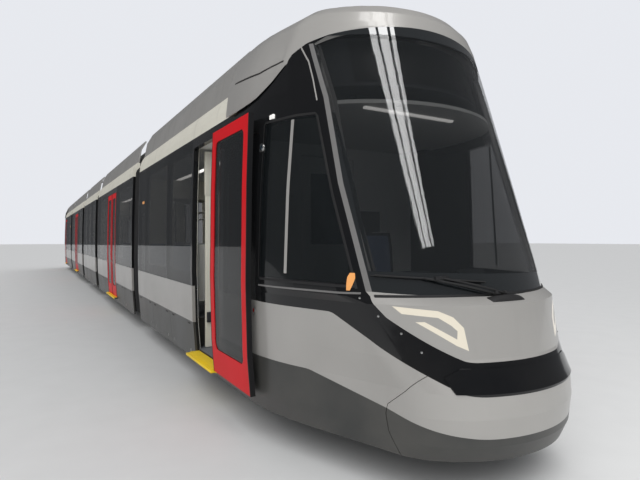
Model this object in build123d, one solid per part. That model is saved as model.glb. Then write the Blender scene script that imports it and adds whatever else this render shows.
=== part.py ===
"""Five-section, double-ended, low-floor city tram.

+X points to the front cab, +Y to the tram's left, +Z up. The origin is on the floor under the middle of
the centre section. Heights in this script are taken from the rail head, and every piece is lifted by the
flange height as it is written, because on a flat floor the tram stands on its wheel flanges.

Two cab sections and the centre section run on bogies. The two door sections between them hang on the
articulations. Both ends are the same, so the rear half is the front half turned by half a turn.
"""
from build123d import *
import os
from math import cos, hypot, radians, sin, sqrt, tan

# Lengths of the sections, mm: between pivots, and from the outer pivot to the tip of the nose
CENTRE_LENGTH = 4200
DOOR_CAR_LENGTH = 5900
CAB_LENGTH = 7050
INNER_PIVOT_X = CENTRE_LENGTH / 2
OUTER_PIVOT_X = INNER_PIVOT_X + DOOR_CAR_LENGTH
FRONT_X = OUTER_PIVOT_X + CAB_LENGTH
FLANGE_HEIGHT = 28

# Gap between two sections
GANGWAY_GAP = 620
END_INSET = GANGWAY_GAP / 2

# Body side, half width at each height, from the skirt's lower edge to the top of the cove
SKIRT_BOTTOM = 230
WAIST_BOTTOM = 650
BELT = 1230
BAND_TOP = 2700
DECK_TOP = 2950
SIDE_PROFILE = (
    # half width, height
    (1152, SKIRT_BOTTOM),
    (1186, WAIST_BOTTOM),
    (1200, BELT),
    (1192, 2000),
    (1170, BAND_TOP),
    (1098, DECK_TOP),
)
COVE_PROFILE = ((1162, BAND_TOP + 90), (1140, BAND_TOP + 175))
FAIRING_TOP = 3350
FAIRING_PROFILE = ((1092, DECK_TOP + 12), (1050, 3190), (960, FAIRING_TOP))
FAIRING_THICKNESS = 30
FAIRING_PANEL = 1500
WALL = 60
PANEL_GAP = 6
PANEL_PROUD = 4

# Floor and gangway
FLOOR = 350
FLOOR_THICKNESS = 70
PORTAL_HALF_WIDTH = 640
PORTAL_TOP = 2280
PORTAL_THICKNESS = 60
TURNTABLE_RADIUS = END_INSET - 10
GANGWAY_FLOOR = 40
GANGWAY_HALF = 500
SWING = 16
KNUCKLE_BOTTOM = 150
PIVOT_RADIUS = 60
RUNNING_GAP = 5
FIT_GAP = 0.4

# Floor over a bogie
AISLE_FLOOR = 450
AISLE_HALF_WIDTH = 420
PODIUM_TOP = 680
PODIUM_PLATE = 40
PODIUM_HALF_LENGTH = 1480
RAMP_TOP = 1190
RISER = 30
BOGIE_SPACE_HALF_WIDTH = 1092

# Bogies; a cab bogie stands near the middle between its section's end and the doorway
BOGIE_OFFSET = 25
WHEELBASE = 1850
WHEEL_RADIUS = 295
WHEEL_TREAD = 86
HUB_RADIUS = 110
GAUGE = 1435
FLANGE_WIDTH = 24
AXLE_RADIUS = 50
JOURNAL_RADIUS = 60
JOURNAL_LENGTH = 150
BEAM_WIDTH = 110
BEAM_GAP = 55
SIDE_BEAM = (
    # from the middle or, where marked, from the wheel centre; height from the wheel centre
    (0, -145, False),
    (400, -145, False),
    (-305, -80, True),
    (130, -80, True),
    (130, 80, True),
    (-125, 110, True),
    (-325, 35, True),
    (430, 5, False),
    (0, 5, False),
)
CROSS_BEAM_X = 260
CROSS_BEAM_HALF = 90
SPRING_X = 200
SPRING_RADIUS = 75
SPRING_PLATE = 20
BRAKE_Y = (700, 770)
BRAKE_Z = (12, 100)
BRAKE_HALF_LENGTH = 480
MOTOR_HALF_LENGTH = 400
MOTOR_HALF_HEIGHT = 110
MOTOR_EDGE = 28
GEARBOX_HALF_LENGTH = 130
GEARBOX_HALF_HEIGHT = 95
SHAFT_LINE_RADIUS = 35
SAND_BOX = ((1370, 1450), (690, 830), (420, 600))
SAND_PIPE = ((1400, 420), (1330, 70))
SAND_PIPE_RADIUS = 15

# Doors and windows
DOOR_HEAD = 2590
DOOR_TOP = 2580
DOOR_FOOT = 330
DOOR_THICKNESS = 42
CAB_DOOR_FRONT = FRONT_X - 2600
CAB_DOOR_WIDTH = 910
PLUG_OUT = 85
DOUBLE_DOOR_WIDTH = 1300
DOUBLE_DOOR_X = (INNER_PIVOT_X + OUTER_PIVOT_X) / 2
BOGIE_X = (OUTER_PIVOT_X + END_INSET + CAB_DOOR_FRONT - CAB_DOOR_WIDTH) / 2 + BOGIE_OFFSET
DOOR_FRAME = 105
DOOR_GLASS_FOOT = 560
WINDOW_SILL = 1190
WINDOW_HEAD = 2580
GLASS_THICKNESS = 24
WINDOW_CORNER = 70

PANE_FOOT = 1060
PANE_TOP = 2690
PANE_LAP = 70
DOOR_CORNER = 60
DOOR_ARM = 40
DOOR_ARM_GAP = 20
DOOR_ARM_HEIGHTS = ((2440, 2520, DOOR_HEAD), (380, 430, FLOOR))
DOOR_PANE_INSET = 6
THRESHOLD_BOTTOM = 298
THRESHOLD_REACH = 20
SKIRT_THICKNESS = 25
SKIRT_PANEL = 1100
WAIST_CORNER = 45
CEILING = 2600

# Windows. Cab section: from, to, measured back from the doorway, and whether it is glazed through
CAB_WINDOWS = ((60, 1210, True), (1230, 2670, True))
BLIND_PANE_START = 2690
PANE_TO_END = 40
PANE_TO_DOOR = 60
PANE_SPACING = 10
CENTRE_PANES = 3
CENTRE_PANE_INSET = 50

# Jacking pads, and their places: ahead of the cab doorway's back edge, and inside a door section's ends
JACK_LENGTH = 160
JACK_WIDTH = 120
JACK_Y = 1000
JACK_BOTTOM = 250
CAB_JACK_INSET = 160
DOOR_CAR_JACK_INSET = 340

# Cross members under the low floor
MEMBER_WIDTH = 80
MEMBER_HEIGHT = 40
MEMBER_HALF_LENGTH = 900
MEMBER_INSET = 420
MEMBER_PITCH = 1000

# Double seats: place of the back foot from the bogie's middle, and the way they face
PODIUM_SEATS = ((-1330, 1), (-160, -1), (160, 1), (1330, -1))
SEAT_FROM_END = 210
SEAT_FROM_DOOR = 240
SEAT_WIDTH = 640
SEAT_Y = 770
SEAT_ABOVE_PODIUM = 180
SEAT_ABOVE_FLOOR = 430
SEAT_SLOT = 16
SEAT_PAN = ((-40, 0), (380, 0), (415, 20), (405, 50), (320, 44), (60, 52), (-30, 60))
SEAT_BACK = (
    (-40, 0),
    (-30, 60),
    (-62, 300),
    (-80, 520),
    (-110, 660),
    (-150, 655),
    (-118, 500),
    (-100, 280),
    (-85, 0),
)

# Grab poles: distance from the edges they stand by, and from the middle plane
POLE_RADIUS = 17.5
AISLE_POLE_Y = 380
DOOR_POLE_Y = 400
DOUBLE_DOOR_POLE_Y = 420
CAB_POLE_INSETS = (80, 70)
DOUBLE_DOOR_POLE_INSET = 100

# Roof equipment: from, to, half width, height above the deck, and whether it has fans
CAB_EQUIPMENT = ((190, 1190, 700, 240, False), (1390, 3590, 860, 330, True))
DOOR_CAR_EQUIPMENT = ((290, 1890, 820, 300, False), (2090, 2990, 700, 220, False), (3190, 4990, 860, 330, True))
CENTRE_EQUIPMENT = ((2690, 3390, 700, 240, False),)
EQUIPMENT_FOOT = 30
EQUIPMENT_EDGE = 45
LOUVRE_PITCH = 200
LOUVRE_WIDTH = 110
LOUVRE_DEPTH = 18
FAN_RADIUS = 260
FAN_RIM = 22
FAN_HEIGHT = 25

# Nose
NOSE_BACK = CAB_DOOR_FRONT
NOSE_WALL = 50
TAPER_BLEND = 2200
HOOD_TAIL = 2400
HOOD_START = 2180
NOSE_LEVELS = (
    # height, front setback, front radius, corner radius, half width, taper start, taper angle
    (SKIRT_BOTTOM, 60, 975, 480, 1152, 1560, 20),
    (330, 18, 1018, 515, 1172, 1580, 20),
    (500, 0, 1035, 530, 1180, 1590, 20),
    (WAIST_BOTTOM, 10, 1030, 520, 1186, 1590, 20),
    (840, 100, 1050, 450, 1191, 1570, 19),
    (1165, 165, 1090, 330, 1199, 1530, 18),
    (1210, 290, 1270, 165, 1200, 1500, 16),
    (2000, 552, 1245, 150, 1192, 1650, 16),
    (BAND_TOP, 785, 1220, 150, 1170, 1790, 16),
    (2960, 871, 1205, 160, 1130, 1830, 15),
    (3228, 960, 1180, 190, 1050, 1850, 13),
    (3320, 990, 1100, 240, 985, 2000, 11),
    (3400, 1060, 950, 280, 880, 2100, 10),
    (3455, 1220, 900, 300, 640, 2300, 8),
)
HOOD_SWELL = (
    # height, wider by, steeper by
    (BAND_TOP, 28, 3),
    (2960, 38, 4),
)

# Lines between the nose panels, in side view: (setback, height)
GREY_LINE = ((-300, 378), (90, 378), (540, 511), (1150, WAIST_BOTTOM), (3000, WAIST_BOTTOM))
GREY_ROUND = 250
SASH_LINE = ((-300, 634), (120, 634), (611, 935), (900, 1088), (3000, 1088))
SASH_ROUND = 150
COWL_LINE = ((-300, 822), (190, 822), (520, 1085), (700, 1300))
COWL_ROUND = 90
HOOD_EDGE = (
    (-300, 3212),
    (940, 3212),
    (1230, 3125),
    (1350, 3072),
    (1608, 2845),
    (1760, 2762),
    (2000, 2725),
    (HOOD_TAIL, 2725),
    (HOOD_TAIL, 3300),
)
HOOD_ROUNDS = (80, 80, 80, 150, 150, 150, 200)
PILLAR_LINE = ((651, 1240), (934, 1965), (1150, 2617), (1335, 3063))
PILLAR_STRIP = 27
SCREEN_FOOT = ((290, 1205), (-300, 1205))
COWL_OUTLINE = ((-300, 600), (700, 600), (700, 1250), (651, 1240), (624, 1240), (290, 1205), (-300, 1205))
BUMPER_OUTLINE = (
    (-300, 100),
    (380, 100),
    (453, 235),
    (523, 370),
    (540, 475),
    (526, 537),
    (408, 638),
    (300, 750),
    (300, 860),
    (-300, 860),
)
SEAM_DEPTH = 14
COVER_PROUD = 8
COVER_OUTLINE = ((500, 792), (596, 742), (560, 652))
CAB_WINDOW_OUTLINE = ((715, 1290), (945, 1870), (1165, 2480), (1640, 2480), (1640, 1290))
LAMP_OUTLINE = (
    # across, height, in front view
    (785, 1158),
    (567, 1133),
    (488, 1095),
    (435, 1030),
    (424, 893),
    (490, 925),
    (685, 1064),
    (640, 1066),
    (482, 962),
    (474, 1012),
    (505, 1045),
    (570, 1092),
    (745, 1112),
)

# Cab
PARTITION_THICKNESS = 40
CAB_FLOOR = 550
TOW_EYE_SETBACK = 350
TOW_EYE_Z = 360
TOW_EYE_RADIUS = 22
TOW_LUG_RADIUS = 70
TOW_LUG_THICKNESS = 50
TOW_LUG_BACK = 300
DESK_OUTLINE = (
    (450, CAB_FLOOR),
    (450, 1100),
    (850, 1150),
    (1150, 1040),
    (1150, 990),
    (900, 940),
    (900, CAB_FLOOR),
)
DESK_HALF_WIDTH = 560
DESK_WING = ((900, 1150), (940, 1040), 760)
SHELF_THICKNESS = 20
SCREEN_STAND = ((790, 1142.5), (830, 1147.5), (860, 1340), (835, 1345))
SCREEN_PLACES = ((-430, -150), (150, 430))
DRIVER_SEAT_BACK = 1700
DRIVER_SEAT_HALF = 240
DRIVER_COLUMN_RADIUS = 90
ARMREST = ((-60, 260), 50, (200, 235))
HEADREST = ((-185, -125), 130, (665, 860))
INNER_DOOR_HALF = 325
INNER_DOOR_TOP = 2450
INNER_DOOR_THICKNESS = 34
INNER_DOOR_GAP = 6
HANDLE_Y = -275
HANDLE_Z = (1480, 1510)
HANDLE_REACH = 45
HANDLE_LENGTH = 125
HINGE_HEIGHTS = (750, 2250)
HINGE_LENGTH = 100
HINGE_PIN_RADIUS = 6
HINGE_BARREL_RADIUS = 10
HINGE_LUG = 12
HINGE_REACH = 34
CAB_BEAM = ((260, 360), (300, 700))
HOUSING_SETBACK = (600, 1500)
HOUSING_HEIGHT = (2730, 3130)
HOUSING_INSET = 110
BULKHEAD_THICKNESS = 30

# Pantograph, folded: pivots in side view, arm lengths and rest angles
PANTO_X = -700
PANTO_Z = 3200
LOWER_ARM = 1250
LOWER_ANGLE = 8
UPPER_ARM = 1350
UPPER_ANGLE = 5
ARM_DROP = 80
SHAFT_RADIUS = 20
KNEE_RADIUS = 15
COLLECTOR_HALF = 850
PANTO_BASE_Z = (2995, 3035)
PANTO_BASE_HALF = (160, 400)
PANTO_BAR = 60
INSULATOR_PLACE = (130, 370)
INSULATOR_PROFILE = ((0, 0), (40, 0), (40, 12), (55, 18), (40, 24), (55, 36), (40, 42), (40, 45), (0, 45))
SPRING_CASE_Y = 275
SPRING_CASE_RADIUS = 50
GUIDE_BASE = (150.5, -130.3)
GUIDE_LEVER = 110
GUIDE_LEVER_ANGLE = -20
GUIDE_Y = -127
GUIDE_RADIUS = 12
GUIDE_EYE_RADIUS = 22
GUIDE_EYE_HALF = 12
GUIDE_PIN_RADIUS = 10
LEVER_Y = (-112, -100)


def mirrored(shape):
    """The same shape on the other side of the tram."""
    return mirror(shape, about=Plane.XZ)


def both_sides(shape):
    """A shape on the left together with its twin on the right."""
    return [shape, mirrored(shape)]


def block(x, y, z):
    """A box given by its two limits on each axis."""
    return Pos((x[0] + x[1]) / 2, (y[0] + y[1]) / 2, (z[0] + z[1]) / 2) * Box(
        abs(x[1] - x[0]), abs(y[1] - y[0]), abs(z[1] - z[0])
    )


def along_x(points, x):
    """A prism between two places along the tram, from its outline in (y, z)."""
    plane = Plane(origin=(x[0], 0, 0), x_dir=(0, 1, 0), z_dir=(1, 0, 0))
    return extrude(plane * make_face(Polyline(*points, close=True)), x[1] - x[0])


def across(points, y):
    """A prism across the tram between two places, from its outline in (x, z)."""
    plane = Plane(origin=(0, y[0], 0), x_dir=(1, 0, 0), z_dir=(0, -1, 0))
    return extrude(plane * make_face(Polyline(*points, close=True)), y[0] - y[1])


def side_width(height):
    """Half width of the straight body side at a height, on the straight runs of the side profile."""
    for (low_w, low_z), (high_w, high_z) in zip(SIDE_PROFILE, SIDE_PROFILE[1:]):
        if height <= high_z:
            return low_w + (high_w - low_w) * (height - low_z) / (high_z - low_z)
    return SIDE_PROFILE[-1][0]


def side_strip(low, high, outer, inner):
    """Outline in (y, z) of a strip of the left body side, between two depths inside its outer face."""
    heights = [low] + [z for _, z in SIDE_PROFILE if low < z < high] + [high]
    out = [(side_width(z) - outer, z) for z in heights]
    back = [(side_width(z) - inner, z) for z in reversed(heights)]
    return out + back


def side_panel(x, low, high, outer, inner, corner=0):
    """A panel that follows the left body side, with rounded corners in side view."""
    panel = along_x(side_strip(low, high, outer, inner), x)
    if not corner:
        return panel
    shape = Pos((x[0] + x[1]) / 2, 0, (low + high) / 2) * Rot(90, 0, 0) * RectangleRounded(
        x[1] - x[0], high - low, corner
    )
    return panel & extrude(shape, -2 * side_width(BELT))


def plan_outline(level, inset=0):
    """Closed outline of the nose at one height, as a face of lines and tangent arcs."""
    height, setback, front_r, corner_r, half, start, angle = level
    setback, front_r, half = setback + inset, front_r - inset, half - inset
    corner_r = max(corner_r - inset, 40)
    slope = radians(angle)
    forward, inward = (-cos(slope), -sin(slope)), (sin(slope), -cos(slope))
    # centre of the corner arc, inside both the taper line and the front arc
    centre = setback + front_r
    px, py = start + corner_r * inward[0] - centre, half + corner_r * inward[1]
    b = px * forward[0] + py * forward[1]
    t = -b + sqrt(b * b - (px * px + py * py - (front_r - corner_r) ** 2))
    qx, qy = px + t * forward[0], py + t * forward[1]
    reach = hypot(qx, qy)
    blend = TAPER_BLEND * tan(slope / 2)

    def at(s, y):
        return (FRONT_X - s, y, height)

    def half_outline(side):
        line_end = at(start + t * forward[0], side * (half + t * forward[1]))
        arc_end = at(centre + qx / reach * front_r, side * qy / reach * front_r)
        mid_x, mid_y = qx / reach - inward[0], qy / reach - inward[1]
        mid = hypot(mid_x, mid_y)
        corner_mid = at(
            centre + qx + corner_r * mid_x / mid, side * (qy + corner_r * mid_y / mid)
        )
        side_end = at(start + blend, side * half)
        taper_end = at(start + blend * forward[0], side * (half + blend * forward[1]))
        blend_mid = at(
            start + blend - TAPER_BLEND * sin(slope / 2),
            side * (half - TAPER_BLEND * (1 - cos(slope / 2))),
        )
        back = (NOSE_BACK - (RUNNING_GAP if inset else 0), side * half, height)
        return back, side_end, blend_mid, taper_end, line_end, corner_mid, arc_end

    left, right = half_outline(1), half_outline(-1)
    edges = [
        Line(right[0], right[1]),
        ThreePointArc(right[1], right[2], right[3]),
        Line(right[3], right[4]),
        ThreePointArc(right[4], right[5], right[6]),
        ThreePointArc(right[6], at(setback, 0), left[6]),
        ThreePointArc(left[6], left[5], left[4]),
        Line(left[4], left[3]),
        ThreePointArc(left[3], left[2], left[1]),
        Line(left[1], left[0]),
        Line(left[0], right[0]),
    ]
    return make_face(Wire(edges))


def nose_form(inset=0, swell=()):
    """The nose as a solid form, lofted with straight runs between its plan outlines."""
    extra = {height: (wider, steeper) for height, wider, steeper in swell}
    levels = []
    for height, setback, front_r, corner_r, half, start, angle in NOSE_LEVELS:
        wider, steeper = extra.get(height, (0, 0))
        levels.append((height, setback, front_r, corner_r, half + wider, start, angle + steeper))
    if inset:
        low, high = levels[0], levels[-1]
        levels = [(low[0] - 20, *low[1:])] + levels[1:-1] + [(high[0] - inset, *high[1:])]
    return loft([plan_outline(level, inset) for level in levels], ruled=True)


def region(points, radius, far, y=(-1400, 1400)):
    """Everything between a rounded line in (setback, z) and a far height, across the nose."""
    line = FilletPolyline(*[(FRONT_X - s, 0, z) for s, z in points], radius=radius)
    start, end = points[0][0], points[-1][0]
    rest = Polyline(
        (FRONT_X - end, 0, points[-1][1]),
        (FRONT_X - end, 0, far),
        (FRONT_X - start, 0, far),
        (FRONT_X - start, 0, points[0][1]),
    )
    face = make_face(line.edges() + rest.edges())
    return Pos(0, y[0], 0) * extrude(face, y[1] - y[0], dir=(0, 1, 0))


def outline(points, y=(-1400, 1400)):
    """A prism across the nose from a straight-sided outline in (setback, z)."""
    return across([(FRONT_X - s, z) for s, z in points], y)


def solids(*shapes):
    """All solids of nested lists, parts and shapes, as one flat list."""
    found = []
    for shape in shapes:
        if isinstance(shape, (list, tuple)):
            found += solids(*shape)
        else:
            found += shape.solids()
    return found


def write(name, *shapes):
    """One node, lifted so that the wheel flanges stand on the floor."""
    lifted = [Pos(0, 0, FLANGE_HEIGHT) * solid for solid in solids(*shapes)]
    shape = lifted[0] if len(lifted) == 1 else Compound(children=lifted)
    export_step(shape, f"parts/{name}.step")


def write_both_ends(name, *shapes):
    """A node of the front half and its twin, half a turn round, of the rear half."""
    write(f"front_{name}", *shapes)
    write(f"rear_{name}", [Rot(0, 0, 180) * solid for solid in solids(*shapes)])


def split_evenly(x, pitch, gap):
    """Equal stretches of about one pitch between two places, with a gap between neighbours."""
    count = max(1, round((x[1] - x[0]) / pitch))
    length = (x[1] - x[0] - (count - 1) * gap) / count
    return [(x[0] + i * (length + gap), x[0] + i * (length + gap) + length) for i in range(count)]


def window_cut(x, glazed):
    """Rebate for a flush pane and, behind it, the window hole of a glazed one, on the left side."""
    cut = side_panel(x, PANE_FOOT, PANE_TOP, -10, GLASS_THICKNESS)
    if glazed:
        hole = (x[0] + PANE_LAP, x[1] - PANE_LAP)
        cut += side_panel(hole, WINDOW_SILL, WINDOW_HEAD, -10, WALL + 10, WINDOW_CORNER)
    return cut


def wall_segment(x, windows):
    """Body side between two doorways: outer face, sill behind the skirt, and windows, on the left."""
    wall = side_panel(x, WAIST_BOTTOM, DOOR_HEAD, 0, WALL)
    wall += side_panel(x, FLOOR - FLOOR_THICKNESS, WAIST_BOTTOM, SKIRT_THICKNESS, WALL)
    for low, high, glazed in windows:
        wall -= window_cut((low, high), glazed)
    return wall


def waist_panel(x):
    """Raised outer panel under the windows, with rounded corners, on the left."""
    span = (x[0] + PANEL_GAP, x[1] - PANEL_GAP)
    return side_panel(
        span, WAIST_BOTTOM + PANEL_GAP, PANE_FOOT - PANEL_GAP, -PANEL_PROUD, 0, WAIST_CORNER
    )


def cantrail(x, windows):
    """Beam above the doors and windows, on the left."""
    beam = side_panel(x, DOOR_HEAD, BAND_TOP, 0, WALL)
    for low, high, glazed in windows:
        beam -= side_panel((low, high), PANE_FOOT, PANE_TOP, -10, GLASS_THICKNESS)
    return beam


def panes(windows):
    """Flush panes of a table of windows, on the left."""
    return [
        side_panel((low + FIT_GAP, high - FIT_GAP), PANE_FOOT + FIT_GAP, PANE_TOP - FIT_GAP, 0, GLASS_THICKNESS)
        for low, high, glazed in windows
    ]


def end_portal(x):
    """Posts and header of the open end wall of a section, between its walls, floor and roof."""
    foot, head = FLOOR, CEILING
    outer_high = side_width(head) - WALL
    post = along_x(
        [
            (PORTAL_HALF_WIDTH, foot),
            (side_width(foot) - WALL, foot),
            (side_width(WAIST_BOTTOM) - WALL, WAIST_BOTTOM),
            (side_width(BELT) - WALL, BELT),
            (side_width(2000) - WALL, 2000),
            (side_width(PORTAL_TOP) - WALL, PORTAL_TOP),
            (PORTAL_HALF_WIDTH, PORTAL_TOP),
        ],
        x,
    )
    top = side_width(PORTAL_TOP) - WALL
    header = along_x(
        [(-top, PORTAL_TOP), (top, PORTAL_TOP), (outer_high, head), (-outer_high, head)], x
    )
    return [*both_sides(post), header]


def floor_plate(x):
    """Low floor between the walls."""
    low = side_width(FLOOR - FLOOR_THICKNESS) - WALL
    high = side_width(FLOOR) - WALL
    return along_x(
        [(-low, FLOOR - FLOOR_THICKNESS), (low, FLOOR - FLOOR_THICKNESS), (high, FLOOR), (-high, FLOOR)], x
    )


def bogie_floor(middle, x):
    """Raised aisle with its two ramps, and the podiums that cover the wheels, between two places."""
    ramp_low, ramp_high = middle - RAMP_TOP, middle + RAMP_TOP
    aisle = across(
        [
            (x[0], FLOOR - FLOOR_THICKNESS),
            (x[0], FLOOR),
            (ramp_low, AISLE_FLOOR),
            (ramp_high, AISLE_FLOOR),
            (x[1], FLOOR),
            (x[1], FLOOR - FLOOR_THICKNESS),
            (ramp_high, AISLE_FLOOR - PODIUM_PLATE),
            (ramp_low, AISLE_FLOOR - PODIUM_PLATE),
        ],
        (-AISLE_HALF_WIDTH, AISLE_HALF_WIDTH),
    )
    low, high = middle - PODIUM_HALF_LENGTH, middle + PODIUM_HALF_LENGTH
    under = PODIUM_TOP - PODIUM_PLATE
    pieces = [aisle]
    for left in both_sides(
        along_x(
            [
                (AISLE_HALF_WIDTH, under),
                (side_width(under) - WALL, under),
                (side_width(WAIST_BOTTOM) - WALL, WAIST_BOTTOM),
                (side_width(PODIUM_TOP) - WALL, PODIUM_TOP),
                (AISLE_HALF_WIDTH, PODIUM_TOP),
            ],
            (low, high),
        )
    ):
        pieces.append(left)
    riser = block(
        (low, high), (AISLE_HALF_WIDTH, AISLE_HALF_WIDTH + RISER), (AISLE_FLOOR - PODIUM_PLATE, under)
    )
    pieces += both_sides(riser)
    for end, step in ((x[0], low), (x[1], high)):
        span = (min(end, step), max(end, step))
        inward = (step, step + RISER) if step == low else (step - RISER, step)
        low_floor = along_x(
            [
                (AISLE_HALF_WIDTH, FLOOR - FLOOR_THICKNESS),
                (side_width(FLOOR - FLOOR_THICKNESS) - WALL, FLOOR - FLOOR_THICKNESS),
                (side_width(FLOOR) - WALL, FLOOR),
                (AISLE_HALF_WIDTH, FLOOR),
            ],
            span,
        )
        closing = along_x(
            [
                (AISLE_HALF_WIDTH + RISER, FLOOR - FLOOR_THICKNESS),
                (side_width(FLOOR - FLOOR_THICKNESS) - WALL, FLOOR - FLOOR_THICKNESS),
                (side_width(under) - WALL, under),
                (AISLE_HALF_WIDTH + RISER, under),
            ],
            inward,
        )
        pieces += [*both_sides(low_floor), *both_sides(closing)]
    return pieces


def sanders(middle):
    """Sand boxes on the podiums' end walls, each with its pipe down to the rail."""
    (low, high), y, z = SAND_BOX
    (top_x, top_z), (foot_x, foot_z) = SAND_PIPE
    pipe_y = sum(y) / 2
    pieces = []
    for side in (-1, 1):
        box = block((middle + side * low, middle + side * high), y, z)
        pipe = pivot_tube(
            (middle + side * top_x, pipe_y, top_z), (middle + side * foot_x, pipe_y, foot_z), SAND_PIPE_RADIUS
        )
        pieces += [*both_sides(box), *both_sides(pipe)]
    return pieces


def skirts(x_list):
    """Hinged lower side panels that hang below the waist, on both sides."""
    pieces = []
    for x in x_list:
        for span in split_evenly(x, SKIRT_PANEL, PANEL_GAP):
            pieces += both_sides(side_panel(span, SKIRT_BOTTOM, WAIST_BOTTOM, 0, SKIRT_THICKNESS))
    return pieces


def cross_members(x):
    """Beams across the underside of a low floor."""
    top = FLOOR - FLOOR_THICKNESS
    count = max(2, round((x[1] - x[0] - 2 * MEMBER_INSET) / MEMBER_PITCH) + 1)
    first, last = x[0] + MEMBER_INSET, x[1] - MEMBER_INSET
    beams = []
    for i in range(count):
        middle = first + (last - first) * i / (count - 1)
        span = (middle - MEMBER_WIDTH / 2, middle + MEMBER_WIDTH / 2)
        beams.append(block(span, (-MEMBER_HALF_LENGTH, MEMBER_HALF_LENGTH), (top - MEMBER_HEIGHT, top)))
    return beams


def doorway_sill(x):
    """Floor edge, yellow threshold and the short skirt under one doorway, on the left."""
    bottom = FLOOR - FLOOR_THICKNESS
    behind_door = side_width(DOOR_FOOT) - DOOR_THICKNESS - FIT_GAP
    edge = along_x(
        [
            (side_width(bottom) - WALL, bottom),
            (behind_door, bottom),
            (behind_door, FLOOR),
            (side_width(FLOOR) - WALL, FLOOR),
        ],
        x,
    )
    threshold = block(
        x, (behind_door, side_width(BELT) + THRESHOLD_REACH), (THRESHOLD_BOTTOM, DOOR_FOOT - FIT_GAP)
    )
    skirt = side_panel(x, SKIRT_BOTTOM, THRESHOLD_BOTTOM, 0, SKIRT_THICKNESS)
    return [edge, threshold, skirt]


def roof_slab(x):
    """Roof slab with its coves."""
    ceiling, shoulder = side_width(CEILING) - WALL, side_width(BAND_TOP) - WALL
    line = [(ceiling, CEILING), (shoulder, BAND_TOP), (side_width(BAND_TOP), BAND_TOP)]
    half = line + list(COVE_PROFILE) + [SIDE_PROFILE[-1]]
    return along_x(half + [(-y, z) for y, z in reversed(half)], x)


def fairings(x):
    """Upright silver panels along the roof's edges, on both sides."""
    outer = [(FAIRING_PROFILE[0][0], DECK_TOP), *FAIRING_PROFILE]
    inner = [(y - FAIRING_THICKNESS, z) for y, z in reversed(outer)]
    panels = []
    for span in split_evenly(x, FAIRING_PANEL, PANEL_GAP):
        panels += both_sides(along_x(outer + inner, span))
    return panels


def equipment_case(x, half, height, fans):
    """One roof case with sloping edges, louvres along its sides and, on an air conditioner, two fans."""
    foot, top = DECK_TOP + EQUIPMENT_FOOT, DECK_TOP + height
    edge = EQUIPMENT_EDGE
    side = [(half, foot), (half, top - edge), (half - edge, top)]
    case = along_x(side + [(-y, z) for y, z in reversed(side)], x)
    feet = block((x[0] + edge, x[1] - edge), (-half + 2 * edge, half - 2 * edge), (DECK_TOP, foot))
    case += feet
    for low, high in split_evenly((x[0] + edge, x[1] - edge), LOUVRE_PITCH, LOUVRE_PITCH - LOUVRE_WIDTH):
        slot = block((low, high), (half - LOUVRE_DEPTH, half + edge), (foot + edge, top - 2 * edge))
        for cut in both_sides(slot):
            case -= cut
    pieces = [case]
    if fans:
        middle, apart = (x[0] + x[1]) / 2, (x[1] - x[0]) / 4
        for place in (middle - apart, middle + apart):
            seat_on_case = Pos(place, 0, top + FAN_HEIGHT / 2)
            rim = Cylinder(FAN_RADIUS, FAN_HEIGHT) - Cylinder(FAN_RADIUS - FAN_RIM, 2 * FAN_HEIGHT)
            for turn in (0, 90):
                rim += Rot(0, 0, turn) * Box(2 * FAN_RADIUS - FAN_RIM, FAN_RIM, FAN_HEIGHT)
            rim += Cylinder(3 * FAN_RIM, FAN_HEIGHT)
            pieces.append(seat_on_case * rim)
    return pieces


def roof_equipment(start, table):
    """Cases of a table, measured from the back end of a section."""
    pieces = []
    for low, high, half, height, fans in table:
        pieces += equipment_case((start + low, start + high), half, height, fans)
    return pieces


def profile_across(points, x, z, facing, y):
    """A prism across the tram from an outline that is given from a foot point and may face either way."""
    return across([(x + facing * along, z + up) for along, up in points], y)


def seat(x, y, base, pan, facing):
    """One double seat: pan, two backs and a pedestal; facing is +1 to the front and -1 to the rear."""
    half = SEAT_WIDTH / 2
    pieces = [profile_across(SEAT_PAN, x, pan, facing, (y - half, y + half))]
    for low, high in ((-half, -SEAT_SLOT / 2), (SEAT_SLOT / 2, half)):
        pieces.append(profile_across(SEAT_BACK, x, pan, facing, (y + low, y + high)))
    height = pan - base
    pedestal = ((100, -height), (260, -height), (320, 0), (40, 0))
    pieces.append(profile_across(pedestal, x, pan, facing, (y - half / 3, y + half / 3)))
    return pieces


def driver_seat(x, base, pan):
    """Driver's seat on its column, with armrests and a headrest."""
    half = DRIVER_SEAT_HALF
    (head_low, head_high), head_half, head_z = HEADREST
    (arm_back, arm_front), arm_width, (arm_low, arm_high) = ARMREST
    back = profile_across(SEAT_BACK, x, pan, 1, (-half, half))
    pieces = [
        profile_across(SEAT_PAN, x, pan, 1, (-half, half)),
        back,
        Pos(x + DRIVER_COLUMN_RADIUS * 2, 0, (base + pan) / 2) * Cylinder(DRIVER_COLUMN_RADIUS, pan - base),
    ]
    stem_top = SEAT_BACK[5][1]
    head = block((x + head_low, x + head_high), (-head_half, head_half), (pan + head_z[0], pan + head_z[1]))
    stem = block(
        (x + head_low + 30, x + head_high - 5), (-head_half / 3, head_half / 3), (pan + stem_top, pan + head_z[0])
    )
    pieces.append(head + (stem - back))
    arm = block((x + arm_back, x + arm_front), (half, half + arm_width), (pan + arm_low, pan + arm_high))
    bracket = block((x + arm_back, x + arm_back + arm_width), (half, half + arm_width / 2), (pan, pan + arm_low))
    pieces += both_sides(arm + bracket)
    return pieces


def pole(x, y, floor):
    """Upright grab pole from the floor to the ceiling."""
    return Pos(x, y, (floor + CEILING) / 2) * Cylinder(POLE_RADIUS, CEILING - floor)


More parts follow.
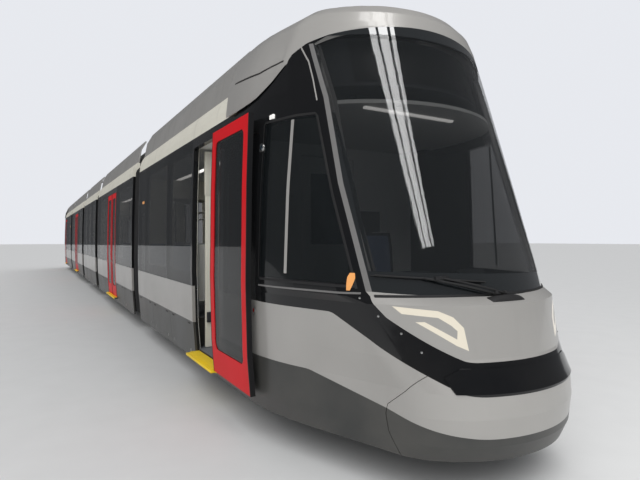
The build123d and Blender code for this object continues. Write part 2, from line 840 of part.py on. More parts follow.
def wheelset(x):
    """Two flanged wheels and the axle between and beyond them, on one centre line across the tram."""
    parts = []
    turn = Pos(x, 0, WHEEL_RADIUS) * Rot(-90, 0, 0)
    back = GAUGE / 2 - 5 - FLANGE_WIDTH
    face = back + FLANGE_WIDTH + WHEEL_TREAD
    flange = WHEEL_RADIUS + FLANGE_HEIGHT
    profile = Polyline(
        (0, back - 20),
        (HUB_RADIUS, back - 20),
        (HUB_RADIUS, back + 25),
        (WHEEL_RADIUS - 60, back + 25),
        (WHEEL_RADIUS - 60, back),
        (flange - 8, back),
        (flange, back + 9),
        (flange - 8, back + 18),
        (WHEEL_RADIUS, back + FLANGE_WIDTH + 4),
        (WHEEL_RADIUS - 3, face),
        (WHEEL_RADIUS - 60, face),
        (WHEEL_RADIUS - 60, face - 25),
        (HUB_RADIUS, face - 25),
        (HUB_RADIUS, face),
        (0, face),
        close=True,
    )
    wheel = revolve(make_face(Plane.XZ * profile), Axis.Z)
    for side in (1, -1):
        flip = Rot(0, 0, 0) if side > 0 else Rot(180, 0, 0)
        parts.append(turn * flip * wheel)
        journal = Pos(0, 0, face + JOURNAL_LENGTH / 2) * Cylinder(JOURNAL_RADIUS, JOURNAL_LENGTH)
        parts.append(turn * flip * journal)
    parts.append(turn * Cylinder(AXLE_RADIUS, 2 * (back - 20)))
    return parts


def octagon_bar(x, y, z, edge):
    """Bar along the tram whose section has its four corners cut off."""
    (y0, y1), (z0, z1) = y, z
    points = [
        (y0 + edge, z0),
        (y1 - edge, z0),
        (y1, z0 + edge),
        (y1, z1 - edge),
        (y1 - edge, z1),
        (y0 + edge, z1),
        (y0, z1 - edge),
        (y0, z0 + edge),
    ]
    return along_x(points, x)


def side_beam(middle, y):
    """Swan-necked side beam of a bogie, lowered in the middle, with bores for the journals."""
    half = WHEELBASE / 2
    right = [(along + (half if at_wheel else 0), WHEEL_RADIUS + up) for along, up, at_wheel in SIDE_BEAM]
    left = [(-x, z) for x, z in reversed(right[1:-1])]
    beam = across([(middle + x, z) for x, z in right + left], y)
    for end in (-1, 1):
        hole = Pos(middle + end * half, sum(y) / 2, WHEEL_RADIUS) * Rot(90, 0, 0)
        beam -= hole * Cylinder(JOURNAL_RADIUS + FIT_GAP, BEAM_WIDTH + 20)
    return beam


def bogie_frame(middle):
    """Side and cross beams, springs, track brakes, and motors with their gearboxes outside the beams."""
    inner = GAUGE / 2 - 5 + WHEEL_TREAD + BEAM_GAP
    outer = inner + BEAM_WIDTH
    half = WHEELBASE / 2
    low, high = WHEEL_RADIUS + SIDE_BEAM[0][1], WHEEL_RADIUS + SIDE_BEAM[-1][1]
    top = PODIUM_TOP - PODIUM_PLATE
    pieces = both_sides(side_beam(middle, (inner, outer)))
    for end in (-1, 1):
        cross = middle + end * CROSS_BEAM_X
        span = (cross - CROSS_BEAM_HALF, cross + CROSS_BEAM_HALF)
        pieces.append(block(span, (-inner, inner), (low + SPRING_PLATE, high - SPRING_PLATE)))
        bracket = block((cross - 40, cross + 40), BRAKE_Y, (BRAKE_Z[1], low + SPRING_PLATE))
        pieces += both_sides(bracket)
        spring = Pos(middle + end * SPRING_X, (inner + outer) / 2, (high + top) / 2)
        coil = spring * Cylinder(SPRING_RADIUS, top - high)
        for z in (high + SPRING_PLATE / 2, top - SPRING_PLATE / 2):
            coil += Pos(middle + end * SPRING_X, (inner + outer) / 2, z) * Box(
                2 * SPRING_RADIUS + 30, BEAM_WIDTH, SPRING_PLATE
            )
        pieces += both_sides(coil & block((middle - half, middle + half), (inner, outer), (high, top)))
    shoe = ((-1, 1), (-1, 0.55), (-0.9, 0), (0.9, 0), (1, 0.55), (1, 1))
    height = BRAKE_Z[1] - BRAKE_Z[0]
    brake = across([(middle + u * BRAKE_HALF_LENGTH, BRAKE_Z[0] + v * height) for u, v in shoe], BRAKE_Y)
    pieces += both_sides(brake)
    wide = (outer, BOGIE_SPACE_HALF_WIDTH - 10)
    motor_z = (WHEEL_RADIUS - MOTOR_HALF_HEIGHT, WHEEL_RADIUS + MOTOR_HALF_HEIGHT)
    span = (middle - MOTOR_HALF_LENGTH, middle + MOTOR_HALF_LENGTH)
    pieces += both_sides(octagon_bar(span, wide, motor_z, MOTOR_EDGE))
    gear_z = (WHEEL_RADIUS - GEARBOX_HALF_HEIGHT, WHEEL_RADIUS + GEARBOX_HALF_HEIGHT)
    shaft_y = sum(wide) / 2
    for end in (-1, 1):
        near = middle + end * (half - GEARBOX_HALF_LENGTH)
        far = middle + end * (half + GEARBOX_HALF_LENGTH)
        pieces += both_sides(octagon_bar((min(near, far), max(near, far)), wide, gear_z, MOTOR_EDGE))
        face = middle + end * MOTOR_HALF_LENGTH
        shaft = pivot_tube((face, shaft_y, WHEEL_RADIUS), (near, shaft_y, WHEEL_RADIUS), SHAFT_LINE_RADIUS)
        pieces += both_sides(shaft)
    return pieces


def knuckle_socket(pivot, towards):
    """Lower tongue with the bearing hole, that reaches from a section's floor to the pivot."""
    tongue = block(
        (pivot, pivot + towards * (END_INSET + 200)), (-170, 170), (KNUCKLE_BOTTOM, KNUCKLE_BOTTOM + 50)
    )
    tongue += Pos(pivot, 0, KNUCKLE_BOTTOM + 25) * Cylinder(170, 50)
    tongue += block(
        (pivot + towards * (END_INSET + 20), pivot + towards * (END_INSET + 200)),
        (-170, 170),
        (KNUCKLE_BOTTOM, FLOOR - FLOOR_THICKNESS),
    )
    return tongue - Pos(pivot, 0, KNUCKLE_BOTTOM + 25) * Cylinder(PIVOT_RADIUS + FIT_GAP, 60)


def knuckle_pin(pivot, towards):
    """Upper tongue with the pin, that drops into the socket of the next section."""
    low = KNUCKLE_BOTTOM + 50 + FIT_GAP
    tongue = block((pivot, pivot + towards * (END_INSET + 200)), (-170, 170), (low, low + 40))
    tongue += Pos(pivot, 0, low + 20) * Cylinder(170, 40)
    tongue += Pos(pivot, 0, (KNUCKLE_BOTTOM + low) / 2 - 10) * Cylinder(PIVOT_RADIUS, low - KNUCKLE_BOTTOM + 20)
    tongue += block(
        (pivot + towards * (END_INSET + 20), pivot + towards * (END_INSET + 200)),
        (-170, 170),
        (low, FLOOR - FLOOR_THICKNESS),
    )
    return tongue


def turntable(pivot, towards):
    """Round gangway floor on the pivot, with the tongue that joins it to its own section's floor."""
    low = FLOOR - GANGWAY_FLOOR
    disc = Pos(pivot, 0, low + GANGWAY_FLOOR / 2) * Cylinder(TURNTABLE_RADIUS, GANGWAY_FLOOR)
    half = TURNTABLE_RADIUS * cos(radians(SWING)) - RUNNING_GAP
    neck = block((pivot, pivot + towards * END_INSET), (-half, half), (low, FLOOR))
    return disc + neck


def turntable_ring(pivot, towards):
    """Floor of the facing section, cut round the turntable with a running gap."""
    low = FLOOR - GANGWAY_FLOOR
    plate = block(
        (pivot + towards * RUNNING_GAP, pivot + towards * END_INSET), (-GANGWAY_HALF, GANGWAY_HALF), (low, FLOOR)
    )
    cut = Pos(pivot, 0, low + GANGWAY_FLOOR / 2) * Cylinder(TURNTABLE_RADIUS + RUNNING_GAP, 2 * GANGWAY_FLOOR)
    return plate - cut


def jack_pads(places):
    """Jacking pads under the floor edge, on both sides."""
    pads = []
    for x in places:
        pads += both_sides(
            block(
                (x - JACK_LENGTH / 2, x + JACK_LENGTH / 2),
                (JACK_Y - JACK_WIDTH / 2, JACK_Y + JACK_WIDTH / 2),
                (JACK_BOTTOM, FLOOR - FLOOR_THICKNESS),
            )
        )
    return pads


def bellows(pivot):
    """Closed gangway between two end walls, as a plain tube; it bends with the articulation."""
    x = (pivot - END_INSET + FIT_GAP, pivot + END_INSET - FIT_GAP)

    def ring(depth, low, high):
        half = [(side_width(z) - depth, z) for z in (low, WAIST_BOTTOM, BELT, 2000)]
        half += [(side_width(BAND_TOP) - depth, high - 120), (side_width(BAND_TOP) - depth - 120, high)]
        return along_x(half + [(-y, z) for y, z in reversed(half)], x)

    return ring(40, SKIRT_BOTTOM + 60, DECK_TOP - 60) - ring(110, SKIRT_BOTTOM + 10, DECK_TOP - 130)


def door_leaf(x, corner):
    """Frame and pane of one door leaf on the left side, in its closed place."""
    frame = side_panel(x, DOOR_FOOT, DOOR_TOP, 0, DOOR_THICKNESS, corner)
    glass = (x[0] + DOOR_FRAME, x[1] - DOOR_FRAME)
    top = DOOR_TOP - DOOR_FRAME
    frame -= side_panel(glass, DOOR_GLASS_FOOT, top, -10, DOOR_THICKNESS + 10, DOOR_CORNER)
    pane = side_panel(
        (glass[0] + FIT_GAP, glass[1] - FIT_GAP),
        DOOR_GLASS_FOOT + FIT_GAP,
        top - FIT_GAP,
        DOOR_PANE_INSET,
        DOOR_PANE_INSET + GLASS_THICKNESS,
        DOOR_CORNER,
    )
    return frame, pane


def door_arms(x):
    """Arms that carry the open leaf by its rear edge, from the header and from the floor, on the left."""
    arms = []
    for low, high, fixed in DOOR_ARM_HEIGHTS:
        reach = PLUG_OUT - DOOR_THICKNESS - FIT_GAP
        root = side_width(low) - 2 * DOOR_ARM
        plate = along_x(
            [
                (side_width(low) + DOOR_ARM_GAP, low),
                (side_width(low) + reach, low),
                (side_width(high) + reach, high),
                (side_width(high) + DOOR_ARM_GAP, high),
            ],
            (x - 2 * DOOR_ARM, x + 2 * DOOR_ARM),
        )
        span = (x - 2 * DOOR_ARM, x - DOOR_ARM / 2)
        plate += block(span, (root, side_width(low) + DOOR_ARM_GAP + 2), (low, high))
        arms.append(plate + block(span, (root, root + DOOR_ARM), (min(low, fixed), max(high, fixed))))
    return arms


def plugged_out(shape):
    """A right-hand leaf in its open place: pushed out and slid forward by its own width."""
    return Pos(CAB_DOOR_WIDTH, -PLUG_OUT, 0) * mirrored(shape)


def pivot_tube(start, end, radius):
    """Round tube between two points in the middle plane."""
    run = Vector(*end) - Vector(*start)
    plane = Plane(origin=start, z_dir=run)
    return extrude(plane * Circle(radius), run.length)


def pin(x, z, radius, half, y=0):
    """Cylinder across the tram, centred on its middle line or at another place across."""
    return Pos(x, y, z) * Rot(90, 0, 0) * Cylinder(radius, 2 * half)


def link(start, end, y, radius):
    """Flat bar with round ends between two places in side view."""
    (x0, z0), (x1, z1) = start, end
    run = hypot(x1 - x0, z1 - z0)
    ux, uz = (x1 - x0) / run * radius, (z1 - z0) / run * radius
    bar = across([(x0 - uz, z0 + ux), (x1 - uz, z1 + ux), (x1 + uz, z1 - ux), (x0 + uz, z0 - ux)], y)
    for x, z in (start, end):
        bar += pin(x, z, radius, abs(y[1] - y[0]) / 2, sum(y) / 2)
    return bar


def pantograph_base():
    """Frame on four insulators, with the arm's brackets, the spring cases and the guide rod's lug."""
    low, high = PANTO_BASE_Z
    half_x, half_y = PANTO_BASE_HALF
    frame = None
    for x in (-half_x, half_x - PANTO_BAR):
        bar = block((PANTO_X + x, PANTO_X + x + PANTO_BAR), (-half_y, half_y), (low, high))
        frame = bar if frame is None else frame + bar
    for y in (half_y - PANTO_BAR, 165 - PANTO_BAR / 2):
        for bar in both_sides(block((PANTO_X - half_x, PANTO_X + half_x), (y, y + PANTO_BAR), (low, high))):
            frame += bar
    pieces = [frame]
    plate = block((PANTO_X - 60, PANTO_X + 60), (150, 180), (high, PANTO_Z + 50))
    for bracket in both_sides(plate):
        pieces.append(bracket - pin(PANTO_X, PANTO_Z, SHAFT_RADIUS + FIT_GAP, 300))
    insulator = revolve(make_face(Plane.XZ * Polyline(*INSULATOR_PROFILE, close=True)), Axis.Z)
    for x in (-INSULATOR_PLACE[0], INSULATOR_PLACE[0]):
        for y in (-INSULATOR_PLACE[1], INSULATOR_PLACE[1]):
            pieces.append(Pos(PANTO_X + x, y, DECK_TOP) * insulator)
    case_z = high + SPRING_CASE_RADIUS
    case = pivot_tube(
        (PANTO_X - half_x, SPRING_CASE_Y, case_z), (PANTO_X + half_x, SPRING_CASE_Y, case_z), SPRING_CASE_RADIUS
    )
    for x in (-half_x, half_x - PANTO_BAR):
        case += block(
            (PANTO_X + x, PANTO_X + x + PANTO_BAR),
            (SPRING_CASE_Y - SPRING_CASE_RADIUS, SPRING_CASE_Y + SPRING_CASE_RADIUS),
            (high, case_z),
        )
    pieces += both_sides(case)
    x, z = PANTO_X + GUIDE_BASE[0], PANTO_Z + GUIDE_BASE[1]
    lug = block((x - GUIDE_EYE_RADIUS, x + GUIDE_EYE_RADIUS), LEVER_Y, (high, z))
    lug += pin(x, z, GUIDE_EYE_RADIUS, (LEVER_Y[1] - LEVER_Y[0]) / 2, sum(LEVER_Y) / 2)
    pin_end = GUIDE_Y - GUIDE_EYE_HALF - 10
    lug += pin(x, z, GUIDE_PIN_RADIUS, (LEVER_Y[1] - pin_end) / 2, (LEVER_Y[1] + pin_end) / 2)
    pieces.append(lug)
    return pieces


def pantograph():
    """Lower arm, upper arm, guide rod and collector head, folded on the roof."""
    knee = (PANTO_X + LOWER_ARM * cos(radians(LOWER_ANGLE)), 0, PANTO_Z + LOWER_ARM * sin(radians(LOWER_ANGLE)))
    top = (knee[0] - UPPER_ARM * cos(radians(UPPER_ANGLE)), 0, knee[2] + UPPER_ARM * sin(radians(UPPER_ANGLE)))
    lower = Rot(90, 0, 0) * Cylinder(SHAFT_RADIUS, 370) + Rot(90, 0, 0) * Cylinder(45, 290)
    lower += block((-30, 90), (-60, 60), (-ARM_DROP, 0))
    tube = Plane(origin=(60, 0, -ARM_DROP), z_dir=(1, 0, 0)) * Circle(35)
    lower += extrude(tube, LOWER_ARM - 160)
    lower += block((LOWER_ARM - 110, LOWER_ARM - 60), (-85, 85), (-ARM_DROP - 35, -ARM_DROP + 35))
    for y in ((60, 85), (-85, -60)):
        cheek = block((LOWER_ARM - 110, LOWER_ARM + 45), y, (-ARM_DROP - 35, 0))
        cheek += Pos(LOWER_ARM, sum(y) / 2, 0) * Rot(90, 0, 0) * Cylinder(45, 25)
        lower += cheek
    lower -= Pos(LOWER_ARM, 0, 0) * Rot(90, 0, 0) * Cylinder(KNEE_RADIUS + FIT_GAP, 200)
    lower = Pos(PANTO_X, 0, PANTO_Z) * Rot(0, -LOWER_ANGLE, 0) * lower
    angle = radians(GUIDE_LEVER_ANGLE)
    lever_end = (knee[0] + GUIDE_LEVER * cos(angle), knee[2] + GUIDE_LEVER * sin(angle))
    upper = pin(knee[0], knee[2], KNEE_RADIUS, (85 - LEVER_Y[0]) / 2, (85 + LEVER_Y[0]) / 2)
    upper += pin(knee[0], knee[2], 35, 55)
    upper += link((knee[0], knee[2]), lever_end, LEVER_Y, GUIDE_EYE_RADIUS)
    upper += pivot_tube(knee, top, 28)
    upper += pin(top[0], top[2], 30, 30) + pin(top[0], top[2], 12, 50)
    head = None
    for y in ((32, 50), (-50, -32)):
        cheek = block((top[0] - 200, top[0] + 200), y, (top[2] - 30, top[2] + 30))
        cheek += block((top[0] - 200, top[0] - 160), y, (top[2], top[2] + 80))
        cheek += block((top[0] + 160, top[0] + 200), y, (top[2], top[2] + 80))
        head = cheek if head is None else head + cheek
    head -= pin(top[0], top[2], 12 + FIT_GAP, 100)
    for x in (-180, 180):
        strip = block((top[0] + x - 30, top[0] + x + 30), (-520, 520), (top[2] + 80, top[2] + 110))
        horn = [(520, 80), (COLLECTOR_HALF, -120), (COLLECTOR_HALF, -90), (520, 110)]
        for end in both_sides(
            along_x([(y, top[2] + z) for y, z in horn], (top[0] + x - 15, top[0] + x + 15))
        ):
            strip += end
        head += strip
    rod_foot = (PANTO_X + GUIDE_BASE[0], GUIDE_Y, PANTO_Z + GUIDE_BASE[1])
    rod = pivot_tube(rod_foot, (lever_end[0], GUIDE_Y, lever_end[1]), GUIDE_RADIUS)
    for x, z in ((rod_foot[0], rod_foot[2]), lever_end):
        rod += pin(x, z, GUIDE_EYE_RADIUS, GUIDE_EYE_HALF, GUIDE_Y)
    rod -= pin(rod_foot[0], rod_foot[2], GUIDE_PIN_RADIUS + FIT_GAP, 2 * GUIDE_EYE_HALF, GUIDE_Y)
    return lower, upper, rod, head


def inner_door():
    """Door in the driver's partition: the leaf with its barrels, and the fixed hinge lugs with their pins."""
    x = NOSE_BACK - HINGE_BARREL_RADIUS - 1
    y = INNER_DOOR_HALF - INNER_DOOR_GAP
    leaf = block(
        (NOSE_BACK, NOSE_BACK + INNER_DOOR_THICKNESS),
        (-y, y),
        (CAB_FLOOR + 2 * INNER_DOOR_GAP, INNER_DOOR_TOP - INNER_DOOR_GAP),
    )
    leaf += block((NOSE_BACK - HANDLE_REACH, NOSE_BACK), (HANDLE_Y, HANDLE_Y + 20), HANDLE_Z)
    leaf += block(
        (NOSE_BACK - HANDLE_REACH, NOSE_BACK - HANDLE_REACH + 15), (HANDLE_Y, HANDLE_Y + HANDLE_LENGTH), HANDLE_Z
    )
    lugs = []
    for z in HINGE_HEIGHTS:
        leaf += Pos(x, y, z) * Cylinder(HINGE_BARREL_RADIUS, HINGE_LENGTH)
        leaf += block((x, NOSE_BACK), (y - HINGE_REACH, y), (z - HINGE_LENGTH / 2, z + HINGE_LENGTH / 2))
        leaf -= Pos(x, y, z) * Cylinder(HINGE_PIN_RADIUS + FIT_GAP, 2 * HINGE_LENGTH)
        lug = Pos(x, y, z) * Cylinder(HINGE_PIN_RADIUS, HINGE_LENGTH + 2 * HINGE_LUG)
        for side in (-1, 1):
            near = z + side * (HINGE_LENGTH / 2 + FIT_GAP)
            lug += block(
                (x - HINGE_BARREL_RADIUS, NOSE_BACK), (y + 1, y + HINGE_REACH), (near, near + side * HINGE_LUG)
            )
            lug += Pos(x, y, near + side * HINGE_LUG / 2) * Cylinder(HINGE_BARREL_RADIUS, HINGE_LUG)
        lugs.append(lug)
    return leaf, lugs


os.makedirs("parts", exist_ok=True)

# Places along the cab section
cab_x = (OUTER_PIVOT_X + END_INSET, NOSE_BACK)
cab_door = (CAB_DOOR_FRONT - CAB_DOOR_WIDTH, CAB_DOOR_FRONT)
cab_wall = (cab_x[0], cab_door[0])
cab_windows = [(cab_door[0] - back, cab_door[0] - front, glazed) for front, back, glazed in CAB_WINDOWS]
cab_windows.append((cab_x[0] + PANE_TO_END, cab_door[0] - BLIND_PANE_START, False))

# Nose panels, sliced from one shell
inner_form = nose_form(NOSE_WALL)
nose = nose_form() - inner_form
skin = nose_form() - nose_form(SEAM_DEPTH)
above_grey = region(GREY_LINE, GREY_ROUND, 4200)
above_sash = region(SASH_LINE, SASH_ROUND, 4200)
above_cowl = region(COWL_LINE, COWL_ROUND, 4200) & outline(COWL_OUTLINE)
hood_cut = region(HOOD_EDGE, HOOD_ROUNDS, 4200)
roof_cut = outline(((HOOD_START, BAND_TOP), (3000, BAND_TOP), (3000, 4200), (HOOD_START, 4200)))
glass_line = [(s - PILLAR_STRIP, z) for s, z in PILLAR_LINE]
screen_cut = outline([(-300, HOOD_EDGE[0][1]), *SCREEN_FOOT[::-1], *glass_line, HOOD_EDGE[2], HOOD_EDGE[1]])
strip_cut = outline([*PILLAR_LINE, *reversed(glass_line)])
front_cut = outline(BUMPER_OUTLINE)
seam = (Pos(-PANEL_GAP, 0, 0) * front_cut - front_cut) & skin

screen = (nose_form() - nose_form(GLASS_THICKNESS)) & (screen_cut - hood_cut)
hood = (nose_form(0, HOOD_SWELL) - inner_form) & hood_cut
strips = (nose & strip_cut) - hood_cut
cowl = nose & above_cowl
black = (nose & above_sash) - screen_cut - strip_cut - hood_cut - roof_cut - above_cowl
band = (nose & above_grey) - above_sash
lower = nose - above_grey
cover_points = [*COVER_OUTLINE, *((-y, z) for y, z in reversed(COVER_OUTLINE))]
cover = (nose_form(-COVER_PROUD) - nose_form()) & along_x(cover_points, (FRONT_X - 700, FRONT_X + 100))
lamp_cut = along_x(LAMP_OUTLINE, (FRONT_X - 900, FRONT_X + 100))
lamps = []
for cut in both_sides(lamp_cut):
    lamps.append(cowl & cut)
    cowl -= cut
window_hole = outline(CAB_WINDOW_OUTLINE)
black -= window_hole
side_glass = (nose_form() - nose_form(GLASS_THICKNESS)) & window_hole

write_both_ends("cab_bumper", band & front_cut)
write_both_ends("cab_cowl", cowl, band - front_cut - seam)
write_both_ends("cab_mask", black, cover)
write_both_ends("cab_hood", hood, strips)
write_both_ends("cab_windscreen", screen)
write_both_ends("cab_headlamps", lamps)

# Cab section
leaf, leaf_pane = door_leaf((cab_door[0] + FIT_GAP, cab_door[1] - FIT_GAP), 0)
write_both_ends(
    "cab_walls",
    both_sides(wall_segment(cab_wall, cab_windows)),
    both_sides(waist_panel(cab_wall)),
    both_sides(cantrail(cab_x, cab_windows)),
    end_portal((cab_x[0], cab_x[0] + PORTAL_THICKNESS)),
)
cab_glass = [*side_glass.solids(), *(p for pane in panes(cab_windows) for p in both_sides(pane)), leaf_pane]
write("front_cab_glass", cab_glass, plugged_out(leaf_pane))
write("rear_cab_glass", [Rot(0, 0, 180) * s for s in solids(cab_glass, mirrored(leaf_pane))])
write("front_cab_doors", leaf, plugged_out(leaf), [mirrored(arm) for arm in door_arms(cab_door[1])])
write("rear_cab_doors", [Rot(0, 0, 180) * s for s in solids(leaf, mirrored(leaf))])
cab_floor = inner_form & block((NOSE_BACK, FRONT_X), (-1300, 1300), (CAB_FLOOR - FLOOR_THICKNESS, CAB_FLOOR))
tow_x = FRONT_X - TOW_EYE_SETBACK
tow_z = (TOW_EYE_Z - TOW_LUG_THICKNESS / 2, TOW_EYE_Z + TOW_LUG_THICKNESS / 2)
tow_back = tow_x - TOW_LUG_BACK
tow_eye = Pos(tow_x, 0, TOW_EYE_Z) * Cylinder(TOW_LUG_RADIUS, TOW_LUG_THICKNESS)
tow_eye += block((tow_back, tow_x), (-TOW_LUG_RADIUS, TOW_LUG_RADIUS), tow_z)
tow_eye += block(
    (tow_back, tow_x - 2 * TOW_LUG_RADIUS),
    (-TOW_LUG_RADIUS, TOW_LUG_RADIUS),
    (tow_z[0], CAB_FLOOR - FLOOR_THICKNESS),
)
tow_eye -= Pos(tow_x, 0, TOW_EYE_Z) * Cylinder(TOW_EYE_RADIUS, 2 * TOW_LUG_THICKNESS)
partition_x = (NOSE_BACK, NOSE_BACK + PARTITION_THICKNESS)
beam_y, (beam_foot, beam_setback) = CAB_BEAM
cab_beam = block((partition_x[1], FRONT_X - beam_setback), beam_y, (beam_foot, CAB_FLOOR - FLOOR_THICKNESS))
write_both_ends(
    "cab_underframe",
    bogie_floor(BOGIE_X, cab_wall),
    sanders(BOGIE_X),
    floor_plate(cab_door),
    cab_floor,
    both_sides(cab_beam),
    *(both_sides(piece) for piece in doorway_sill(cab_door)),
    skirts((cab_wall,)),
    lower & front_cut,
    lower - front_cut - seam,
    tow_eye,
    jack_pads((cab_door[0] + CAB_JACK_INSET,)),
    knuckle_pin(OUTER_PIVOT_X, 1),
    turntable(OUTER_PIVOT_X, 1),
)
write_both_ends(
    "cab_roof",
    roof_slab((cab_x[0], FRONT_X - HOOD_START)) - hood_cut,
    [panel - hood_cut for panel in fairings((cab_x[0], FRONT_X - HOOD_TAIL))],
    roof_equipment(cab_x[0], CAB_EQUIPMENT),
)
write_both_ends("cab_bogie_frame", bogie_frame(BOGIE_X))
for name, x in (("outer", BOGIE_X + WHEELBASE / 2), ("inner", BOGIE_X - WHEELBASE / 2)):
    write_both_ends(f"{name}_wheelset", wheelset(x))
fittings = []
for offset, facing in PODIUM_SEATS:
    for y in (-SEAT_Y, SEAT_Y):
        fittings += seat(BOGIE_X + offset, y, PODIUM_TOP, PODIUM_TOP + SEAT_ABOVE_PODIUM, facing)
fittings += both_sides(pole(BOGIE_X, AISLE_POLE_Y, AISLE_FLOOR))
fittings += both_sides(pole(cab_door[0] + CAB_POLE_INSETS[0], DOOR_POLE_Y, FLOOR))
fittings += both_sides(pole(cab_door[1] - CAB_POLE_INSETS[1], DOOR_POLE_Y, FLOOR))
partition = [
    inner_form & block(partition_x, (-1300, -INNER_DOOR_HALF), (CAB_FLOOR, CEILING)),
    inner_form & block(partition_x, (INNER_DOOR_HALF, 1300), (CAB_FLOOR, CEILING)),
    inner_form & block(partition_x, (-INNER_DOOR_HALF, INNER_DOOR_HALF), (INNER_DOOR_TOP, CEILING)),
]
inner_leaf, hinge_lugs = inner_door()
riser = inner_form & block(partition_x, (-1300, 1300), (FLOOR - FLOOR_THICKNESS, CAB_FLOOR - FLOOR_THICKNESS))
desk_front = DESK_OUTLINE[0][0]
desk_top = DESK_OUTLINE[1][1]
shelf = inner_form & block(
    (FRONT_X - desk_front, FRONT_X), (-1300, 1300), (desk_top - SHELF_THICKNESS, desk_top)
)
wing_s, wing_z, wing_y = DESK_WING
wing = block((FRONT_X - wing_s[1], FRONT_X - wing_s[0]), (DESK_HALF_WIDTH, wing_y), wing_z)
wing += block((FRONT_X - wing_s[1], FRONT_X - wing_s[0]), (wing_y - 40, wing_y), (CAB_FLOOR, wing_z[0]))
ceiling = inner_form & block(
    (partition_x[1], FRONT_X - HOOD_START), (-1000, 1000), (CEILING - BULKHEAD_THICKNESS, CEILING)
)
ceiling_front = inner_form & block(
    (FRONT_X - HOOD_START, FRONT_X), (-1300, 1300), (CEILING - BULKHEAD_THICKNESS, CEILING)
)
housing = nose_form(HOUSING_INSET) & block(
    (FRONT_X - HOUSING_SETBACK[1], FRONT_X - HOUSING_SETBACK[0]), (-1300, 1300), HOUSING_HEIGHT
)
housing_feet = block(
    (FRONT_X - HOUSING_SETBACK[1], FRONT_X - HOUSING_SETBACK[1] + 200), (-500, 500), (CEILING, HOUSING_HEIGHT[0])
)
bulkhead = inner_form & block(
    (FRONT_X - HOOD_TAIL, FRONT_X - HOOD_TAIL + BULKHEAD_THICKNESS), (-1300, 1300), (DECK_TOP, 3600)
)
write_both_ends(
    "cab_interior",
    fittings,
    partition,
    hinge_lugs,
    riser,
    outline(DESK_OUTLINE, (-DESK_HALF_WIDTH, DESK_HALF_WIDTH)),
    both_sides(wing),
    shelf,
    [outline(SCREEN_STAND, y) for y in SCREEN_PLACES],
    driver_seat(FRONT_X - DRIVER_SEAT_BACK, CAB_FLOOR, CAB_FLOOR + SEAT_ABOVE_FLOOR),
    ceiling,
    ceiling_front,
    housing,
    housing_feet,
    bulkhead,
)
write_both_ends("cab_inner_door", inner_leaf)

# Door sections
door_car_x = (INNER_PIVOT_X + END_INSET, OUTER_PIVOT_X - END_INSET)
doorway = (DOUBLE_DOOR_X - DOUBLE_DOOR_WIDTH / 2, DOUBLE_DOOR_X + DOUBLE_DOOR_WIDTH / 2)
halves = ((door_car_x[0], doorway[0]), (doorway[1], door_car_x[1]))
door_car_windows = (
    (door_car_x[0] + PANE_TO_END, doorway[0] - PANE_TO_DOOR, True),
    (doorway[1] + PANE_TO_DOOR, door_car_x[1] - PANE_TO_END, True),
)
door_walls = []
for half, window in zip(halves, door_car_windows):
    door_walls += both_sides(wall_segment(half, (window,)))
    door_walls += both_sides(waist_panel(half))
door_walls += both_sides(cantrail(door_car_x, door_car_windows))
door_walls += end_portal((door_car_x[0], door_car_x[0] + PORTAL_THICKNESS))
door_walls += end_portal((door_car_x[1] - PORTAL_THICKNESS, door_car_x[1]))
write_both_ends("door_car_walls", door_walls)
leaves = (
    (doorway[0] + FIT_GAP, DOUBLE_DOOR_X - FIT_GAP),
    (DOUBLE_DOOR_X + FIT_GAP, doorway[1] - FIT_GAP),
)
frames, glasses = [], [p for pane in panes(door_car_windows) for p in both_sides(pane)]
for leaf_x in leaves:
    frame, pane = door_leaf(leaf_x, 0)
    frames += both_sides(frame)
    glasses += both_sides(pane)
write_both_ends("door_car_doors", frames)
write_both_ends("door_car_glass", glasses)
write_both_ends(
    "door_car_underframe",
    floor_plate(door_car_x),
    cross_members(door_car_x),
    *(both_sides(piece) for piece in doorway_sill(doorway)),
    skirts(halves),
    jack_pads((door_car_x[0] + DOOR_CAR_JACK_INSET, door_car_x[1] - DOOR_CAR_JACK_INSET)),
    knuckle_socket(OUTER_PIVOT_X, -1),
    turntable_ring(OUTER_PIVOT_X, -1),
    knuckle_pin(INNER_PIVOT_X, 1),
    turntable(INNER_PIVOT_X, 1),
)
write_both_ends(
    "door_car_roof",
    roof_slab(door_car_x),
    fairings(door_car_x),
    roof_equipment(door_car_x[0], DOOR_CAR_EQUIPMENT),
)
door_car_seats = (
    (door_car_x[0] + SEAT_FROM_END, 1),
    (doorway[0] - SEAT_FROM_DOOR, -1),
    (doorway[1] + SEAT_FROM_DOOR, 1),
    (door_car_x[1] - SEAT_FROM_END, -1),
)
fittings = []
for x, facing in door_car_seats:
    for y in (-SEAT_Y, SEAT_Y):
        fittings += seat(x, y, FLOOR, FLOOR + SEAT_ABOVE_FLOOR, facing)
for x in (doorway[0] - DOUBLE_DOOR_POLE_INSET, doorway[1] + DOUBLE_DOOR_POLE_INSET):
    fittings += both_sides(pole(x, DOUBLE_DOOR_POLE_Y, FLOOR))
write_both_ends("door_car_interior", fittings)

